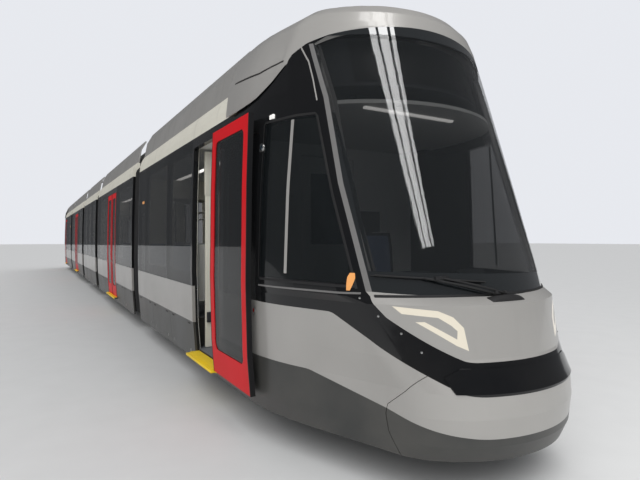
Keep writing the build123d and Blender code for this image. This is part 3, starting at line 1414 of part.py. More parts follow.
# Centre section
centre_x = (-INNER_PIVOT_X + END_INSET, INNER_PIVOT_X - END_INSET)
pane_run = (centre_x[0] + CENTRE_PANE_INSET, centre_x[1] - CENTRE_PANE_INSET)
pane_pitch = (pane_run[1] - pane_run[0]) / CENTRE_PANES
centre_windows = [(low, high, True) for low, high in split_evenly(pane_run, pane_pitch, PANE_SPACING)]
write(
    "centre_walls",
    both_sides(wall_segment(centre_x, centre_windows)),
    both_sides(waist_panel(centre_x)),
    both_sides(cantrail(centre_x, centre_windows)),
    end_portal((centre_x[0], centre_x[0] + PORTAL_THICKNESS)),
    end_portal((centre_x[1] - PORTAL_THICKNESS, centre_x[1])),
)
write("centre_glass", [p for pane in panes(centre_windows) for p in both_sides(pane)])
write(
    "centre_underframe",
    bogie_floor(0, centre_x),
    sanders(0),
    skirts((centre_x,)),
    knuckle_socket(INNER_PIVOT_X, -1),
    turntable_ring(INNER_PIVOT_X, -1),
    knuckle_socket(-INNER_PIVOT_X, 1),
    turntable_ring(-INNER_PIVOT_X, 1),
)
write(
    "centre_roof",
    roof_slab(centre_x),
    fairings(centre_x),
    roof_equipment(centre_x[0], CENTRE_EQUIPMENT),
    pantograph_base(),
)
lower_arm, upper_arm, guide_rod, panto_head = pantograph()
write("pantograph_lower_arm", lower_arm)
write("pantograph_upper_arm", upper_arm)
write("pantograph_guide_rod", guide_rod)
write("pantograph_head", panto_head)
write("centre_bogie_frame", bogie_frame(0))
for name, x in (("front", WHEELBASE / 2), ("rear", -WHEELBASE / 2)):
    write(f"centre_bogie_{name}_wheelset", wheelset(x))
fittings = []
for offset, facing in PODIUM_SEATS:
    for y in (-SEAT_Y, SEAT_Y):
        fittings += seat(offset, y, PODIUM_TOP, PODIUM_TOP + SEAT_ABOVE_PODIUM, facing)
fittings += both_sides(pole(0, AISLE_POLE_Y, AISLE_FLOOR))
write("centre_interior", fittings)

# Gangways
write_both_ends("inner_gangway", bellows(INNER_PIVOT_X))
write_both_ends("outer_gangway", bellows(OUTER_PIVOT_X))
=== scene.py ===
"""Looks of the articulated tram: finishes for its built pieces, and the fine pieces modelled on them.

Lengths are in metres. +X points to the front cab, +Y to the tram's left and +Z up, with the floor at zero.
The rear half is the front half turned by half a turn, so a piece of the front half is made once and turned.
Places on the nose are given as a setback behind its tip and a height above the rail head.
"""
import logging
import math
from collections.abc import Callable, Sequence
from dataclasses import dataclass
from enum import Enum

import bmesh
import bpy
from mathutils import Matrix, Vector
from mathutils.bvhtree import BVHTree


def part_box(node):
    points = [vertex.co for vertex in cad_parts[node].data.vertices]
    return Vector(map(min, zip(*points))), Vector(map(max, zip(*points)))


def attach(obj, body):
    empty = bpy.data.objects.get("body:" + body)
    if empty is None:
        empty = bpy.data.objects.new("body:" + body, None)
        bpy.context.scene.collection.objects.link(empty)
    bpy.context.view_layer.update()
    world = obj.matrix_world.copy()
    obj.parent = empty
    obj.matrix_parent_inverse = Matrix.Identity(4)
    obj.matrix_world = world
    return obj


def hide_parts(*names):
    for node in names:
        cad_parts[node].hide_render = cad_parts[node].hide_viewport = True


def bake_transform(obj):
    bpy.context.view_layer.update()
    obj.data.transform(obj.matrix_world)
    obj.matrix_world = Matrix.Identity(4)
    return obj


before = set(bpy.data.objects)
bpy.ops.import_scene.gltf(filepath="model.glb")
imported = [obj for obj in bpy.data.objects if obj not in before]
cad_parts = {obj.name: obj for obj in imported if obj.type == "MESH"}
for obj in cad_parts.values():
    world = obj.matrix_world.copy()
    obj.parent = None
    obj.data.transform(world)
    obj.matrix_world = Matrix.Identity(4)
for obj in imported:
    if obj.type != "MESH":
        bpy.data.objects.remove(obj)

LOG = logging.getLogger("tram")
Colour = tuple[float, float, float]
Point = tuple[float, float, float] | Vector
Block = tuple[Point, Point]
Span = tuple[float, float]
Line = tuple[Span, ...]

# Levels and lengths of the body
RAIL_HEAD = 0.028
TIP_X = 15.05
NOSE_BACK = 12.45
CAB_SPAN = (8.31, 12.45)
DOOR_CAR_SPAN = (2.41, 7.69)
CENTRE_SPAN = (-1.79, 1.79)
INNER_PIVOT = 2.1
OUTER_PIVOT = 8.0
CAB_DOORWAY = (11.54, 12.45)
DOUBLE_DOORWAY = (4.40, 5.70)
DOUBLE_DOOR_MIDDLE = 5.05
PARTITION = (12.42, 12.4915)
WALL = 0.06
PLUG_OUT = 0.085
SIDE_PROFILE = (
    # half width, height above the floor
    (1.152, 0.258),
    (1.186, 0.678),
    (1.200, 1.258),
    (1.192, 2.028),
    (1.170, 2.728),
    (1.098, 2.978),
)
SKIRT_TOP = RAIL_HEAD + 0.650
WAIST_TOP = RAIL_HEAD + 1.057
BAND_TOP = RAIL_HEAD + 2.700
DECK_TOP = RAIL_HEAD + 2.950
CASE_TOP = DECK_TOP + 0.330
CEILING = RAIL_HEAD + 2.600
FLOOR = RAIL_HEAD + 0.350
PODIUM = RAIL_HEAD + 0.680
CAB_FLOOR = RAIL_HEAD + 0.550
BOGIE_X = 9.95
WHEEL_RADIUS = 0.295

# The camera, worked out from the photograph
IMAGE_WIDTH = 640
FOCAL_PIXELS = 492
CAMERA_PLACE = (16.99, -2.735, 1.608)
CAMERA_VIEW = (-0.8631, 0.5051, -0.002)


def between(line: Sequence[tuple[float, float]], at: float) -> float:
    """Return the second number of a table at a value of its first.

    Args:
        line: the table, with its first numbers rising.
        at: the value of the first number.

    Returns:
        The second number, held past the table's end.
    """
    for (low, start), (high, stop) in zip(line, line[1:]):
        if at <= high:
            return start + (stop - start) * (at - low) / (high - low)
    return line[-1][1]


def side_width(height: float) -> float:
    """Return the half width of the straight body side at a height above the floor."""
    return between([(z, y) for y, z in SIDE_PROFILE], height)


def walk(line: Line, share: float) -> tuple[Vector, Vector]:
    """Return a point of a line and the line's direction there.

    Args:
        line: the line's corners.
        share: how far along it the point lies, from 0 to 1.

    Returns:
        The point and the direction.
    """
    ends = [Vector(p) for p in line]
    lengths = [(b - a).length for a, b in zip(ends, ends[1:])]
    reach, i = share * sum(lengths), 0
    while i < len(lengths) - 1 and reach > lengths[i]:
        reach -= lengths[i]
        i += 1
    way = (ends[i + 1] - ends[i]).normalized()
    return ends[i] + way * reach, way


def nose(setback: float, height: float, across: float = 0.0) -> Vector:
    """Return the point at a setback behind the nose's tip and a height above the rail head."""
    return Vector((TIP_X - setback, across, height + RAIL_HEAD))


def circle(middle: Vector, across: Vector, up: Vector, sides: int) -> list[Vector]:
    """Return the points of a closed ring, from its middle and its two half widths."""
    turns = [math.tau * i / sides for i in range(sides + 1)]
    return [middle + across * math.cos(turn) + up * math.sin(turn) for turn in turns]


class End(Enum):
    """The half of the tram that a piece belongs to."""

    FRONT = "front"
    REAR = "rear"

    def turn(self) -> Matrix:
        """Return the turn that brings a front piece to this end."""
        return Matrix.Rotation(0.0 if self is End.FRONT else math.pi, 4, "Z")


class Slot(Enum):
    """The record's material slots."""

    SILVER = "body_grey"
    BLACK = "body_black"
    SKIRT = "skirt_grey"
    ROOF = "roof_silver"
    DOOR = "door_red"
    GLASS = "window_glass"
    INTERIOR = "interior"
    BELLOWS = "bellows"
    LAMP = "lamp"


# Shader graphs


class Num:
    """A number that a shader works out, with arithmetic that adds Math nodes."""

    def __init__(self, graph: "Graph", socket: bpy.types.NodeSocket) -> None:
        """Wrap an output socket of a material's graph."""
        self.graph = graph
        self.socket = socket

    def _math(self, operation: str, *values: "Num | float") -> "Num":
        """Return a Math node's result on this number and others."""
        return self.graph.math(operation, self, *values)

    def __add__(self, other: "Num | float") -> "Num":
        """Return the sum."""
        return self._math("ADD", other)

    __radd__ = __add__

    def __sub__(self, other: "Num | float") -> "Num":
        """Return the difference."""
        return self._math("SUBTRACT", other)

    def __rsub__(self, other: "Num | float") -> "Num":
        """Return the difference from a plain number."""
        return self.graph.math("SUBTRACT", other, self)

    def __mul__(self, other: "Num | float") -> "Num":
        """Return the product."""
        return self._math("MULTIPLY", other)

    __rmul__ = __mul__

    def __gt__(self, other: "Num | float") -> "Num":
        """Return 1 where this number is greater."""
        return self._math("GREATER_THAN", other)

    def __lt__(self, other: "Num | float") -> "Num":
        """Return 1 where this number is less."""
        return self._math("LESS_THAN", other)

    def __abs__(self) -> "Num":
        """Return the absolute value."""
        return self._math("ABSOLUTE")

    def least(self, other: "Num | float") -> "Num":
        """Return the smaller of two numbers."""
        return self._math("MINIMUM", other)

    def most(self, other: "Num | float") -> "Num":
        """Return the larger of two numbers."""
        return self._math("MAXIMUM", other)

    def repeat(self, step: float) -> "Num":
        """Return the distance into the current one of equal steps."""
        return self._math("WRAP", step, 0.0)

    def between(self, low: "Num | float", high: "Num | float") -> "Num":
        """Return 1 where this number lies between two limits."""
        return (self > low) * (self < high)


class Graph:
    """The node graph of one material."""

    def __init__(self, name: str) -> None:
        """Start an empty material.

        Args:
            name: the material's name.
        """
        self.material = bpy.data.materials.new(name)
        self.material.use_nodes = True
        self.tree = self.material.node_tree
        self.tree.nodes.clear()

    def node(self, kind: str, inputs: dict[str | int, object], **settings: object) -> bpy.types.Node:
        """Add a node.

        Args:
            kind: the node's type, without the words that all types start with.
            inputs: values or links for its input sockets.
            settings: attributes, set before the sockets.

        Returns:
            The new node.
        """
        made = self.tree.nodes.new("ShaderNode" + kind)
        for key, value in settings.items():
            setattr(made, key, value)
        for key, value in inputs.items():
            self._feed(made.inputs[key], value)
        return made

    def _feed(self, target: bpy.types.NodeSocket, value: object) -> None:
        """Link a socket to a number or an output, or set it to a plain value."""
        if isinstance(value, Num):
            self.tree.links.new(value.socket, target)
        elif isinstance(value, bpy.types.NodeSocket):
            self.tree.links.new(value, target)
        elif isinstance(value, tuple) and len(value) == 3 and len(getattr(target, "default_value", ())) == 4:
            target.default_value = (*value, 1.0)
        else:
            target.default_value = value

    def math(self, operation: str, *values: Num | float) -> Num:
        """Return the result of a Math node."""
        return Num(self, self.node("Math", dict(enumerate(values)), operation=operation).outputs[0])

    def place(self, output: str = "Object") -> tuple[Num, Num, Num]:
        """Return the three object coordinates of the shaded point, or of another output of their node."""
        split = self.node("SeparateXYZ", {0: self.node("TexCoord", {}).outputs[output]})
        return tuple(Num(self, part) for part in split.outputs)

    def upward(self) -> Num:
        """Return how far the surface faces up, from -1 to 1."""
        return self.place("Normal")[2]

    def noise(self, scale: float, detail: float = 3.0, stretch: Point = (1, 1, 1)) -> Num:
        """Return a noise on object coordinates.

        Args:
            scale: lumps for each metre.
            detail: octaves.
            stretch: scale of the three coordinates.

        Returns:
            The noise, from 0 to 1.
        """
        where = self.node("TexCoord", {}).outputs["Object"]
        mapped = self.node("Mapping", {"Vector": where, "Scale": stretch}).outputs[0]
        made = self.node("TexNoise", {"Vector": mapped, "Scale": scale, "Detail": detail})
        return Num(self, made.outputs[0])

    def blend(self, factor: Num | float, low: object, high: object) -> bpy.types.NodeSocket:
        """Return the blend of two colours by a factor."""
        return self.node("Mix", {"Factor": factor, 6: low, 7: high}, data_type="RGBA").outputs[2]

    def ramp(self, value: Num, low: float, high: float, start: float = 0.0, end: float = 1.0) -> Num:
        """Return a number mapped from one range to another and held at its ends."""
        inputs = {"Value": value, "From Min": low, "From Max": high, "To Min": start, "To Max": end}
        return Num(self, self.node("MapRange", inputs, clamp=True).outputs[0])

    def bump(self, height: Num, distance: float, strength: float = 1.0) -> bpy.types.NodeSocket:
        """Return the normal of a bumped surface."""
        return self.node("Bump", {"Height": height, "Distance": distance, "Strength": strength}).outputs[0]

    def paint(self, **inputs: object) -> bpy.types.Material:
        """Return the material with a Principled shader; a socket's name is written with underscores."""
        named = {key.replace("_", " "): value for key, value in inputs.items()}
        surface = self.node("BsdfPrincipled", named).outputs[0]
        self.node("OutputMaterial", {"Surface": surface})
        return self.material

    def body_width(self, z: Num) -> Num:
        """Return the half width of the straight body side at a height."""
        width = None
        for (low_y, low_z), (high_y, high_z) in zip(SIDE_PROFILE, SIDE_PROFILE[1:]):
            slope = (high_y - low_y) / (high_z - low_z)
            line = z * slope + (low_y - slope * low_z)
            width = line if width is None else width.least(line)
        return width


@dataclass(frozen=True)
class Coat:
    """One colour of a surface, with its sheen."""

    colour: Colour
    roughness: float = 0.35
    metal: float = 0.0
    gloss: float = 0.0


SILVER = Coat((0.405, 0.392, 0.370), 0.34, 0.22, 0.4)
PILLAR_GREY = Coat((0.20, 0.195, 0.19), 0.38, 0.25, 0.1)
GLOSS_BLACK = Coat((0.0060, 0.0063, 0.0072), 0.12, 0.0, 0.2)
SKIRT_GREY = Coat((0.038, 0.039, 0.037), 0.38, 0.05, 0.15)
CREAM = Coat((0.80, 0.77, 0.66), 0.42, 0.0, 0.15)
DOOR_RED = Coat((0.68, 0.006, 0.012), 0.42, 0.0, 0.04)
LENS_RED = Coat((0.45, 0.01, 0.01), 0.15, 0.0, 1.0)
STEP_YELLOW = Coat((0.95, 0.66, 0.012), 0.5)
RUBBER_BLACK = Coat((0.013, 0.013, 0.014), 0.62)
DARK_STEEL = Coat((0.045, 0.043, 0.042), 0.6, 0.4)
BRUSHED_STEEL = Coat((0.55, 0.55, 0.54), 0.27, 0.95)
PANTOGRAPH_GREY = Coat((0.33, 0.34, 0.34), 0.42, 0.6)
PALE_PANEL = Coat((0.60, 0.61, 0.60), 0.45)
FLOOR_VINYL = Coat((0.13, 0.14, 0.155), 0.6)
VINYL_SPECK = Coat((0.30, 0.31, 0.33), 0.6)
UNDERSEAL = Coat((0.018, 0.018, 0.019), 0.8)
DECK_GREY = Coat((0.14, 0.135, 0.13), 0.7)
CASE_GREY = Coat((0.42, 0.43, 0.42), 0.5, 0.1)
CEILING_WHITE = Coat((0.78, 0.78, 0.75), 0.5)
CAB_CEILING = Coat((0.55, 0.55, 0.53), 0.6)
CAB_PLASTIC = Coat((0.028, 0.030, 0.033), 0.55)
MONITOR_BLACK = Coat((0.01, 0.02, 0.03), 0.12, 0.0, 0.8)
SEAT_SHELL = Coat((0.62, 0.63, 0.62), 0.38, 0.0, 0.2)
CARBON = Coat((0.03, 0.03, 0.032), 0.5, 0.2)
DUST = (0.27, 0.25, 0.22)
GRIME = (0.05, 0.047, 0.042)


class Surface:
    """A surface of several coats, each over a part of it, with dust, patches and a fine skin."""

    def __init__(self, name: str, base: Coat) -> None:
        """Start with one coat all over.

        Args:
            name: the material's name.
            base: the coat that shows where nothing lies over it.
        """
        self.graph = Graph(name)
        self.x, self.y, self.z = self.graph.place()
        self.along, self.side = abs(self.x), abs(self.y)
        self.colour: object = base.colour
        self.roughness: Num | float = base.roughness
        self.metal: Num | float = base.metal
        self.gloss: Num | float = base.gloss

    def over(self, mask: Num, coat: Coat) -> "Surface":
        """Lay a coat where a mask is 1."""
        self.colour = self.graph.blend(mask, self.colour, coat.colour)
        self.roughness = self._change(mask, self.roughness, coat.roughness)
        self.metal = self._change(mask, self.metal, coat.metal)
        self.gloss = self._change(mask, self.gloss, coat.gloss)
        return self

    @staticmethod
    def _change(mask: Num, old: Num | float, new: float) -> Num | float:
        """Return a value that turns from old to new where a mask is 1."""
        if not isinstance(old, Num) and old == new:
            return old
        return mask * (new - old) + old

    def outside(self, depth: float = 0.03) -> Num:
        """Return 1 on the outer part of the straight body side."""
        return self.side > self.graph.body_width(self.z) - depth

    def done(
        self, dust: float = 0.12, grain: float = 190.0, relief: float = 0.0002, mirror: float = 0.5
    ) -> bpy.types.Material:
        """Return the material.

        Args:
            dust: how much dust lies low down, from 0 to 1.
            grain: lumps of the fine skin for each metre.
            relief: height of the fine skin.
            mirror: how strongly it reflects, as the shader's specular level.

        Returns:
            The finished material.
        """
        graph = self.graph
        patches = graph.noise(1.7, 4.0)
        streaks = graph.noise(9.0, 3.0, (1.0, 1.0, 0.12))
        low = graph.ramp(self.z, 0.15, 1.2, 1.0, 0.2)
        dusty = low * graph.ramp(patches, 0.35, 0.75) * dust
        grimy = graph.ramp(streaks, 0.55, 0.8) * (0.35 * dust)
        tone = graph.blend(graph.ramp(patches, 0.3, 0.7, 0.0, 0.06), self.colour, (0.0, 0.0, 0.0))
        worn = self.roughness * graph.ramp(patches, 0.2, 0.8, 0.88, 1.08)
        return graph.paint(
            Base_Color=graph.blend(grimy, graph.blend(dusty, tone, DUST), GRIME),
            Roughness=dusty * 0.5 + grimy * 0.4 + worn,
            Metallic=self.metal,
            Specular_IOR_Level=mirror,
            Coat_Weight=self.gloss,
            Coat_Roughness=0.05,
            Normal=graph.bump(graph.noise(grain, 2.0), relief, 0.25),
        )


@dataclass(frozen=True)
class Plain:
    """A finish of one coat."""

    name: str
    coat: Coat
    dust: float = 0.1
    grain: float = 190.0
    relief: float = 0.0002
    mirror: float = 0.5

    def material(self) -> bpy.types.Material:
        """Return the material."""
        return Surface(self.name, self.coat).done(self.dust, self.grain, self.relief, self.mirror)


@dataclass(frozen=True)
class BodySide:
    """Body walls: gloss black band, silver waist panel, and cream lining inside."""

    skin: float = WALL - 0.004
    lining_top: float = RAIL_HEAD + 1.16

    def material(self) -> bpy.types.Material:
        """Return the material."""
        made = Surface("body_side", CREAM)
        outside = made.outside(self.skin)
        made.over((1.0 - outside) * (made.z < self.lining_top), PALE_PANEL).over(outside, GLOSS_BLACK)
        made.over(made.outside() * made.z.between(SKIRT_TOP + 0.003, WAIST_TOP), SILVER)
        return made.done(0.10, mirror=0.3)


@dataclass(frozen=True)
class Underframe:
    """Skirts, lower nose, floors, yellow door steps and the sealed underside."""

    skirt_depth: float = 0.028
    skirt_foot: float = 0.25
    floor_half_width: float = 1.14
    step_edge: float = 1.112
    step_levels: Span = (0.324, 0.3585)

    def material(self) -> bpy.types.Material:
        """Return the material."""
        made = Surface("underframe_and_skirts", UNDERSEAL)
        in_nose = made.along > NOSE_BACK + 0.006
        skirt = made.outside(self.skirt_depth) * made.z.between(self.skirt_foot, SKIRT_TOP + 0.004)
        level = (made.graph.upward() > 0.9) * (made.side < self.floor_half_width)
        low_floor = level * made.z.between(FLOOR - 0.005, PODIUM + 0.005)
        cab_floor = low_floor * in_nose * made.z.between(CAB_FLOOR - 0.002, CAB_FLOOR + 0.002)
        doorway = made.along.between(*CAB_DOORWAY).most(made.along.between(*DOUBLE_DOORWAY))
        step = doorway * (made.side > self.step_edge) * made.z.between(*self.step_levels)
        speckle = made.graph.ramp(made.graph.noise(260.0, 2.0), 0.56, 0.66)
        made.over(in_nose.most(skirt), SKIRT_GREY).over(low_floor * (1.0 - in_nose), FLOOR_VINYL)
        made.over(low_floor * speckle, VINYL_SPECK).over(cab_floor, CAB_PLASTIC).over(step, STEP_YELLOW)
        return made.done(0.22)


@dataclass(frozen=True)
class Roof:
    """Cream cove, silver fairing, white ceiling, dark deck, grey cases and dark fans."""

    cove_edge: float = 1.05
    fairing_edge: float = 0.905
    case_edge: float = 0.88
    ceiling_edge: float = 1.125

    def material(self) -> bpy.types.Material:
        """Return the material."""
        made = Surface("roof_and_ceiling", DECK_GREY)
        above = made.z > DECK_TOP + 0.004
        cove = (made.z > BAND_TOP - 0.003) * (made.side > self.cove_edge) * (1.0 - above)
        under = (made.graph.upward() < -0.4) * (made.z < BAND_TOP + 0.006)
        case = above * (made.side < self.case_edge)
        made.over(cove, CREAM).over(under * (made.side < self.ceiling_edge), CEILING_WHITE)
        made.over(case, CASE_GREY).over(case * (made.z > CASE_TOP + 0.0005), DARK_STEEL)
        return made.over(above * (made.side > self.fairing_edge), SILVER).done(0.5)


@dataclass(frozen=True)
class DoorLeaves:
    """Door leaves: red outside with black rubber edges, pale grey inside; the open leaf has steel arms."""

    doorway: Span
    name: str
    has_open_leaf: bool = False
    is_double: bool = False
    rubber: float = 0.013
    red_depth: float = 0.021
    arm_reach: Span = (-0.0825, 0.0805)
    leaf_back: float = PLUG_OUT - 0.0422
    wall_back: float = 0.0424
    nowhere: float = -99.0

    def material(self) -> bpy.types.Material:
        """Return the material."""
        made = Surface(self.name, PALE_PANEL)
        width = made.graph.body_width(made.z)
        depth = made.side - width
        start, stop = self.doorway
        is_open = (made.x > stop + 0.0005) if self.has_open_leaf else made.x < self.nowhere
        edge = made.along - start - is_open * (stop - start)
        rim = (edge < self.rubber).most(edge > stop - start - self.rubber)
        made.over(depth - is_open * PLUG_OUT > -self.red_depth, DOOR_RED).over(rim, RUBBER_BLACK)
        if self.is_double:
            made.over(abs(made.along - DOUBLE_DOOR_MIDDLE) < self.rubber, RUBBER_BLACK)
        if self.has_open_leaf:
            arm = (made.x > stop + self.arm_reach[0]) * (made.x < stop + self.arm_reach[1])
            arm = arm * (made.side < width + self.leaf_back) * (made.y < 0.0)
            arm = arm * (is_open + (depth > 0.002)).most(made.side < width - self.wall_back)
            made.over(arm, BRUSHED_STEEL)
        return made.done(0.05, mirror=0.1)


@dataclass(frozen=True)
class Hood:
    """Silver paint, with the darker strips down the windscreen pillars."""

    strip_top: float = RAIL_HEAD + 3.066
    strip_back: float = TIP_X - 1.362

    def material(self) -> bpy.types.Material:
        """Return the material."""
        made = Surface("roof_hood", SILVER)
        strip = (made.z < self.strip_top) * (made.along > self.strip_back)
        return made.over(strip, PILLAR_GREY).done(0.1)


@dataclass(frozen=True)
class Interior:
    """Pale seat shells, steel poles, pale partition and dark cab furniture."""

    pole_edge: float = 0.446

    def material(self) -> bpy.types.Material:
        """Return the material."""
        made = Surface("saloon_and_cab_fittings", SEAT_SHELL)
        cab = made.along > PARTITION[0]
        pole = (made.side < self.pole_edge) * (made.along < PARTITION[0])
        partition = made.along.between(*PARTITION) * (made.z < DECK_TOP)
        made.over(pole, BRUSHED_STEEL).over(cab, CAB_PLASTIC).over(partition, PALE_PANEL)
        made.over(cab * made.z.between(CEILING - 0.035, CEILING + 0.004), CAB_CEILING)
        return made.done(0.05, 420.0, 0.00025)


@dataclass(frozen=True)
class TintedGlass:
    """Dark tinted safety glass, with an optional black printed border on the windscreen."""

    name: str
    shade: float = 0.62
    mirror: float = 0.25
    is_windscreen: bool = False
    tint: Colour = (0.010, 0.012, 0.013)
    border: float = 0.031
    border_top: float = 3.115
    border_foot: Span = (1.375, 1.315)
    pillar_lines: tuple[tuple[float, float, float], ...] = (
        # height, setback, slope
        (1.240, 0.624, 0.390),
        (1.965, 0.907, 0.353),
    )

    def material(self) -> bpy.types.Material:
        """Return the material."""
        graph = Graph(self.name)
        shade: Num | float = self.shade
        if self.is_windscreen:
            shade = self._border(graph) * (1.0 - self.shade) + self.shade
        return graph.paint(
            Base_Color=self.tint,
            Roughness=graph.ramp(graph.noise(2.3, 4.0), 0.35, 0.75, 0.012, 0.045),
            Specular_IOR_Level=self.mirror,
            Coat_Weight=self.mirror,
            Coat_Roughness=0.01,
            Alpha=shade,
        )

    def _border(self, graph: Graph) -> Num:
        """Return 1 on the printed border, whose sides follow two lines of the raked pillar."""
        x, y, z = graph.place()
        height = z - RAIL_HEAD
        low, high = ((height - level) * slope + setback for level, setback, slope in self.pillar_lines)
        side = TIP_X - abs(x) > low.most(high) - self.border
        foot = height < graph.ramp(y, -1.0, 1.0, *self.border_foot)
        return side.most(foot).most(height > self.border_top)


@dataclass(frozen=True)
class Glow:
    """A lamp's lens with fine ribs, lit from behind."""

    name: str
    colour: Colour
    strength: float = 1.0
    rib: float = 0.006

    def material(self) -> bpy.types.Material:
        """Return the material."""
        graph = Graph(self.name)
        x, y, z = graph.place()
        half = self.rib * 0.5
        ribs = graph.ramp(abs((y * 0.8 + z).repeat(self.rib) - half), 0.0, half, 0.86, 1.0)
        soft = graph.ramp(graph.noise(22.0, 2.0), 0.3, 0.7, 0.92, 1.0)
        return graph.paint(
            Base_Color=tuple(c * 0.40 for c in self.colour),
            Roughness=0.18,
            Emission_Color=graph.blend(ribs * soft, tuple(c * 0.72 for c in self.colour), self.colour),
            Emission_Strength=self.strength,
            Coat_Weight=0.7,
            Normal=graph.bump(ribs, 0.0006, 0.5),
        )


@dataclass(frozen=True)
class Fabric:
    """Woven blue-grey seat cover with a fine dash pattern."""

    ground: Colour = (0.075, 0.105, 0.185)
    dash: Colour = (0.20, 0.24, 0.31)
    rubbed: Colour = (0.13, 0.15, 0.20)
    thread: float = 0.0022
    dash_pitch: float = 0.028
    dash_width: float = 0.010

    def material(self) -> bpy.types.Material:
        """Return the material."""
        graph = Graph("seat_moquette")
        x, y, z = graph.place()
        warp, weft = self.thread * 0.5, self.thread * 0.65
        weave = graph.ramp(abs(y.repeat(warp * 2) - warp), 0.0, warp)
        weave = weave * graph.ramp(abs((x + z).repeat(weft * 2) - weft), 0.0, weft)
        lumps = graph.noise(34.0, 1.0, (1.0, 2.6, 1.0))
        dashes = graph.ramp(lumps, 0.56, 0.60) * (y.repeat(self.dash_pitch) < self.dash_width)
        worn = graph.ramp(graph.noise(5.0, 3.0), 0.45, 0.75, 0.0, 0.3)
        return graph.paint(
            Base_Color=graph.blend(worn, graph.blend(dashes, self.ground, self.dash), self.rubbed),
            Roughness=0.92,
            Sheen_Weight=0.35,
            Normal=graph.bump(weave, 0.0006, 0.8),
        )


@dataclass(frozen=True)
class FoldedRubber:
    """Coated gangway fabric, greyer where dust lies."""

    name: str
    colour: Colour = (0.012, 0.012, 0.013)
    dusty: Colour = (0.055, 0.053, 0.050)

    def material(self) -> bpy.types.Material:
        """Return the material."""
        graph = Graph(self.name)
        patches = graph.noise(3.0, 4.0)
        return graph.paint(
            Base_Color=graph.blend(graph.ramp(patches, 0.4, 0.8, 0.0, 0.5), self.colour, self.dusty),
            Roughness=graph.ramp(patches, 0.2, 0.8, 0.55, 0.75),
            Normal=graph.bump(graph.noise(620.0, 1.0), 0.0005, 0.6),
        )


@dataclass(frozen=True)
class CastSteel:
    """Cast or welded running-gear steel with rust-brown dust; a wheel has a bright tread."""

    name: str
    has_tread: bool = False
    axle_x: float = 0.0
    colour: Colour = (0.060, 0.056, 0.052)
    rust: Colour = (0.12, 0.085, 0.060)
    bright: Colour = (0.56, 0.55, 0.54)
    tread_y: float = 0.752
    tread_half: float = 0.066

    def material(self) -> bpy.types.Material:
        """Return the material."""
        graph = Graph(self.name)
        x, y, z = graph.place()
        patches = graph.noise(7.0, 5.0)
        colour = graph.blend(graph.ramp(patches, 0.42, 0.72, 0.0, 0.65), self.colour, self.rust)
        roughness: Num | float = graph.ramp(patches, 0.3, 0.7, 0.55, 0.78)
        metal: Num | float = 0.55
        if self.has_tread:
            dx, dz = x - self.axle_x, z - (RAIL_HEAD + WHEEL_RADIUS)
            reach = graph.math("SQRT", dx * dx + dz * dz)
            tread = (reach > WHEEL_RADIUS - 0.0045) * (abs(abs(y) - self.tread_y) < self.tread_half)
            scratch = graph.ramp(graph.noise(120.0, 2.0, (1.0, 0.1, 1.0)), 0.3, 0.7, 0.18, 0.34)
            colour = graph.blend(tread, colour, self.bright)
            roughness = tread * (scratch - roughness) + roughness
            metal = tread * 0.43 + 0.55
        return graph.paint(
            Base_Color=colour,
            Roughness=roughness,
            Metallic=metal,
            Normal=graph.bump(graph.noise(75.0, 4.0), 0.0012, 0.5),
        )


@dataclass(frozen=True)
class DarkDisplay:
    """Switched-off display: a black panel with a faint grid of lamps."""

    pitch: float = 0.012
    panel: Colour = (0.004, 0.004, 0.005)
    lamp: Colour = (0.030, 0.028, 0.020)

    def material(self) -> bpy.types.Material:
        """Return the material."""
        graph = Graph("blank_display")
        x, y, z = graph.place()
        across = y.repeat(self.pitch) - self.pitch * 0.5
        up = z.repeat(self.pitch) - self.pitch * 0.5
        dot = (across * across + up * up) < (self.pitch * 0.28) ** 2
        return graph.paint(
            Base_Color=graph.blend(dot, self.panel, self.lamp),
            Roughness=graph.ramp(graph.noise(8.0), 0.3, 0.7, 0.3, 0.4),
            Normal=graph.bump(dot, 0.0004, 0.4),
        )


